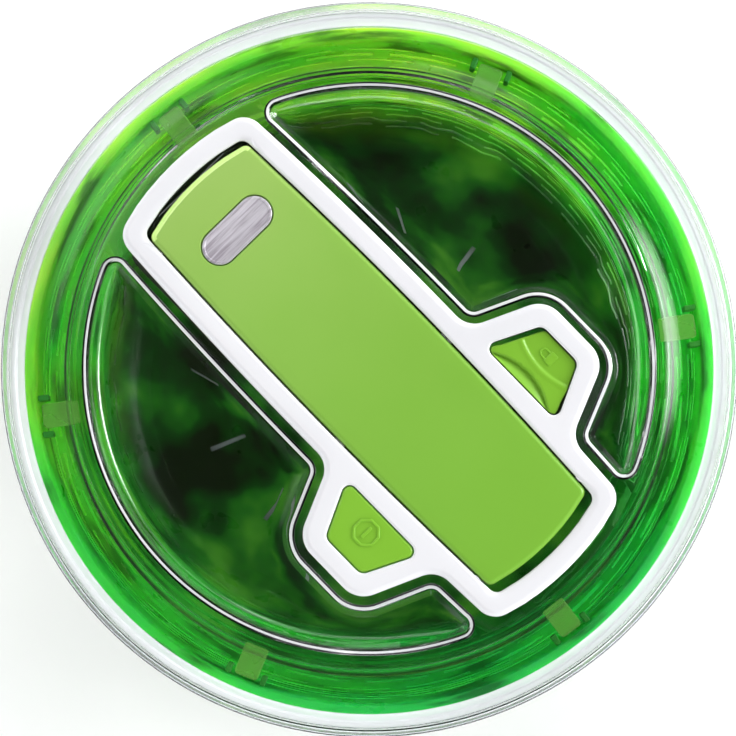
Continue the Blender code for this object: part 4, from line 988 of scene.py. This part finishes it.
def lock_inset(x, y):
    """The wide gap along the button's hinge-side edge, and the narrower one along half of the other slanted edge."""
    near = side_distance(x, y, (BUTTON_X - 8.9, 53.2), (BUTTON_X - 18.3, 33.7))
    far = side_distance(x, y, (BUTTON_X + 18.3, 33.7), (BUTTON_X + 8.9, 53.2))
    wide = 1.35 * (1 - smooth_step(near / 2.2)) * (0.35 + 0.65 * smooth_step((y - 33.7) / 6.0))
    return wide + 0.75 * (1 - smooth_step(far / 1.6)) * (1 - smooth_step((y - 39.0) / 5.0)) * smooth_step((y - 33.4) / 1.5)


put("lock_button_cap", button_mesh("lock_button_cap", 1, lock_top, lambda x, y: 140.0 if abs(x - BUTTON_X) < 6.4 and y < 38.0 else 137.8, edge=0.45, spacing=0.55, inset=lock_inset, under=140.0), "lock_button", ["lock_button"], [BUTTON], sharp=60, weighted=False)

skin = Skin()
lx, ly = BUTTON_X - 0.1, 47.4
body = dense(filleted([(lx, ly - 2.3, 0.35), (lx + 3.1, ly - 2.3, 0.35), (lx + 3.1, ly + 2.3, 0.35), (lx, ly + 2.3, 0.35)], 22), 0.6)
raised(skin, body, None, lock_top, 0.32)
out_bow = [(lx + 0.1, ly - 1.75)] + [(lx - 1.6 - 1.75 * math.sin(a), ly - 1.75 * math.cos(a)) for a in [math.pi * i / 14 for i in range(15)]] + [(lx + 0.1, ly + 1.75)]
in_bow = [(lx + 0.1, ly + 1.1)] + [(lx - 1.6 - 1.1 * math.sin(a), ly + 1.1 * math.cos(a)) for a in [math.pi * i / 12 for i in range(13)]] + [(lx + 0.1, ly - 1.1)]
bow = clean(out_bow + in_bow, 0.05)
if sum(a[0] * b[1] - b[0] * a[1] for a, b in zip(bow, bow[1:] + bow[:1])) < 0:
    bow = bow[::-1]
raised(skin, bow, None, lock_top, 0.32, r=0.08)
put("lock_button_mark", skin.mesh("lock_button_mark"), "lock_button", (), [BUTTON], sharp=50)

# ================================================================ nodes kept from the CAD
KEPT = {
    "pivot_cup": ACETAL, "gear_case": INNER_PAINTED_SHADE, "gear_frame": ACETAL, "gear_cover": WHITE_INNER, "output_bush": ACETAL, "hinge_pin": STEEL, "idler_pin": STEEL,
    "lever_spring": STEEL, "stop_spring": STEEL, "lock_spring": STEEL, "brake_guide": WHITE_INNER, "lever_core": WHITE_INNER, "sector_gear": ACETAL,
    "cross_shaft": STEEL, "drive_pinion": ACETAL, "bevel_gear": ACETAL, "transfer_shaft": STEEL, "bevel_pinion": ACETAL, "transfer_gear": ACETAL, "idler_gear": ACETAL,
    "output_gear": ACETAL, "clutch_spring": STEEL, "drive_shaft": ACETAL, "disc_cap": WHITE_INNER, "brake_plunger": WHITE_INNER, "brake_pad": RUBBER, "latch_bolt": WHITE_INNER,
    "case_screw_1": STEEL, "case_screw_2": STEEL, "case_screw_3": STEEL, "case_screw_4": STEEL, "lid_screw_1": STEEL, "lid_screw_2": STEEL,
}
for node, mat in KEPT.items():
    obj = NODES[node]
    obj.data.materials.clear()
    obj.data.materials.append(mat)

# ================================================================ floor, lights, camera
floor_mesh = bpy.data.meshes.new("floor")
floor_mesh.from_pydata([(-3, -3, 0), (3, -3, 0), (3, 3, 0), (-3, 3, 0)], [], [(0, 1, 2, 3)])
floor = bpy.data.objects.new("floor", floor_mesh)
bpy.context.scene.collection.objects.link(floor)
floor.location.z = -0.0002
mat, nt, shader = material("floor_paper")
paper = noise(nt, 40.0, 2.0)
tone = ramp(nt, paper.outputs["Fac"], [(0.3, (0.985, 0.985, 0.985)), (0.7, (0.995, 0.995, 0.995))])
nt.links.new(tone.outputs["Color"], shader.inputs["Base Color"])
shader.inputs["Roughness"].default_value = 0.9
floor_mesh.materials.append(mat)

RIGHT = Vector((0.698, 0.716, 0.0)).normalized()
UP_H = Vector((-0.716, 0.698, 0.0)).normalized()
SKY = 0.66

world = bpy.data.worlds.new("studio")
bpy.context.scene.world = world
world.use_nodes = True
wt = world.node_tree
background = wt.nodes["Background"]
coord = wt.nodes.new("ShaderNodeTexCoord")
split = wt.nodes.new("ShaderNodeSeparateXYZ")
wt.links.new(coord.outputs["Generated"], split.inputs["Vector"])
sky = ramp(wt, map_range(wt, split.outputs["Z"], 0.0, 1.0).outputs["Result"],
           [(0.0, (1.30, 1.31, 1.34)), (0.14, (1.05, 1.06, 1.08)), (0.32, (0.30, 0.31, 0.31)), (0.62, (0.14, 0.14, 0.14)), (0.86, (0.012, 0.013, 0.013))])


def glow(turn, tilt, spread, strength, colour=(1.0, 1.0, 1.0)):
    """A soft-edged patch of light in the sky, placed as softbox() places a lamp."""
    a, t = math.radians(turn), math.radians(tilt)
    d = (RIGHT * math.cos(a) + UP_H * math.sin(a)) * math.sin(t) + Vector((0, 0, math.cos(t)))
    dot = wt.nodes.new("ShaderNodeVectorMath")
    dot.operation = "DOT_PRODUCT"
    wt.links.new(coord.outputs["Generated"], dot.inputs[0])
    dot.inputs[1].default_value = d
    patch = map_range(wt, dot.outputs["Value"], math.cos(math.radians(spread)), math.cos(math.radians(spread * 0.35)))
    patch.interpolation_type = "SMOOTHSTEP"
    scaled = wt.nodes.new("ShaderNodeVectorMath")
    scaled.operation = "SCALE"
    scaled.inputs[0].default_value = tuple(c * strength for c in colour)
    wt.links.new(patch.outputs["Result"], scaled.inputs["Scale"])
    return scaled.outputs["Vector"]


total = sky.outputs["Color"]
for patch in (glow(138, 33, 19, 3.2), glow(12, 74, 24, 16.0), glow(72, 62, 14, 2.6)):
    add = wt.nodes.new("ShaderNodeVectorMath")
    wt.links.new(total, add.inputs[0])
    wt.links.new(patch, add.inputs[1])
    total = add.outputs["Vector"]
wt.links.new(total, background.inputs["Color"])
background.inputs["Strength"].default_value = SKY


def softbox(name, turn, tilt, size, radiance, distance=1.3, tall=None, colour=(1, 1, 1)):
    """A softbox seen from the object at an angle in the picture (degrees from its right, counter-clockwise) and a tilt from straight up."""
    tall = tall or size
    data = bpy.data.lights.new(name, "AREA")
    data.shape = "RECTANGLE"
    data.size, data.size_y = size, tall
    data.energy, data.color = radiance * math.pi * size * tall, colour
    lamp = bpy.data.objects.new(name, data)
    bpy.context.scene.collection.objects.link(lamp)
    a, t = math.radians(turn), math.radians(tilt)
    d = (RIGHT * math.cos(a) + UP_H * math.sin(a)) * math.sin(t) + Vector((0, 0, math.cos(t)))
    lamp.location = Vector((0, 0, 0.12)) + d * distance
    lamp.rotation_euler = (-d).to_track_quat("-Z", "Y").to_euler()
    lamp.visible_glossy = lamp.visible_transmission = False     # the sky gives the reflections
    return lamp


softbox("sheen_box", 135, 36, 0.50, 3.1)
softbox("upper_right_box", 62, 52, 0.30, 6.9)
softbox("lower_left_box", 228, 54, 0.30, 6.9)
softbox("lower_box", 300, 56, 0.30, 6.9)
for k in range(6):                                              # low lamps all round light the walls inside
    softbox(f"low_box_{k + 1}", 25 + 60 * k, 76, 0.36, 12.0)

camera_data = bpy.data.cameras.new("camera")
camera = bpy.data.objects.new("camera", camera_data)
bpy.context.scene.collection.objects.link(camera)
bpy.context.scene.camera = camera
DISTANCE = 1.5
back = (-UP_H * 0.055 + Vector((0, 0, 1.0))).normalized()
target = Vector((0, 0, 0.1275)) - RIGHT * 0.0004 + UP_H * 0.0000
camera.location = target + back * DISTANCE
right = (RIGHT - back * RIGHT.dot(back)).normalized()
up = back.cross(right)
camera.matrix_world = Matrix.Translation(camera.location) @ Matrix((right, up, back)).transposed().to_4x4()
camera_data.sensor_width = 36.0
camera_data.lens = 36.0 * DISTANCE / 0.2618
camera_data.clip_end = 20.0

bpy.context.scene.view_settings.view_transform = "Standard"
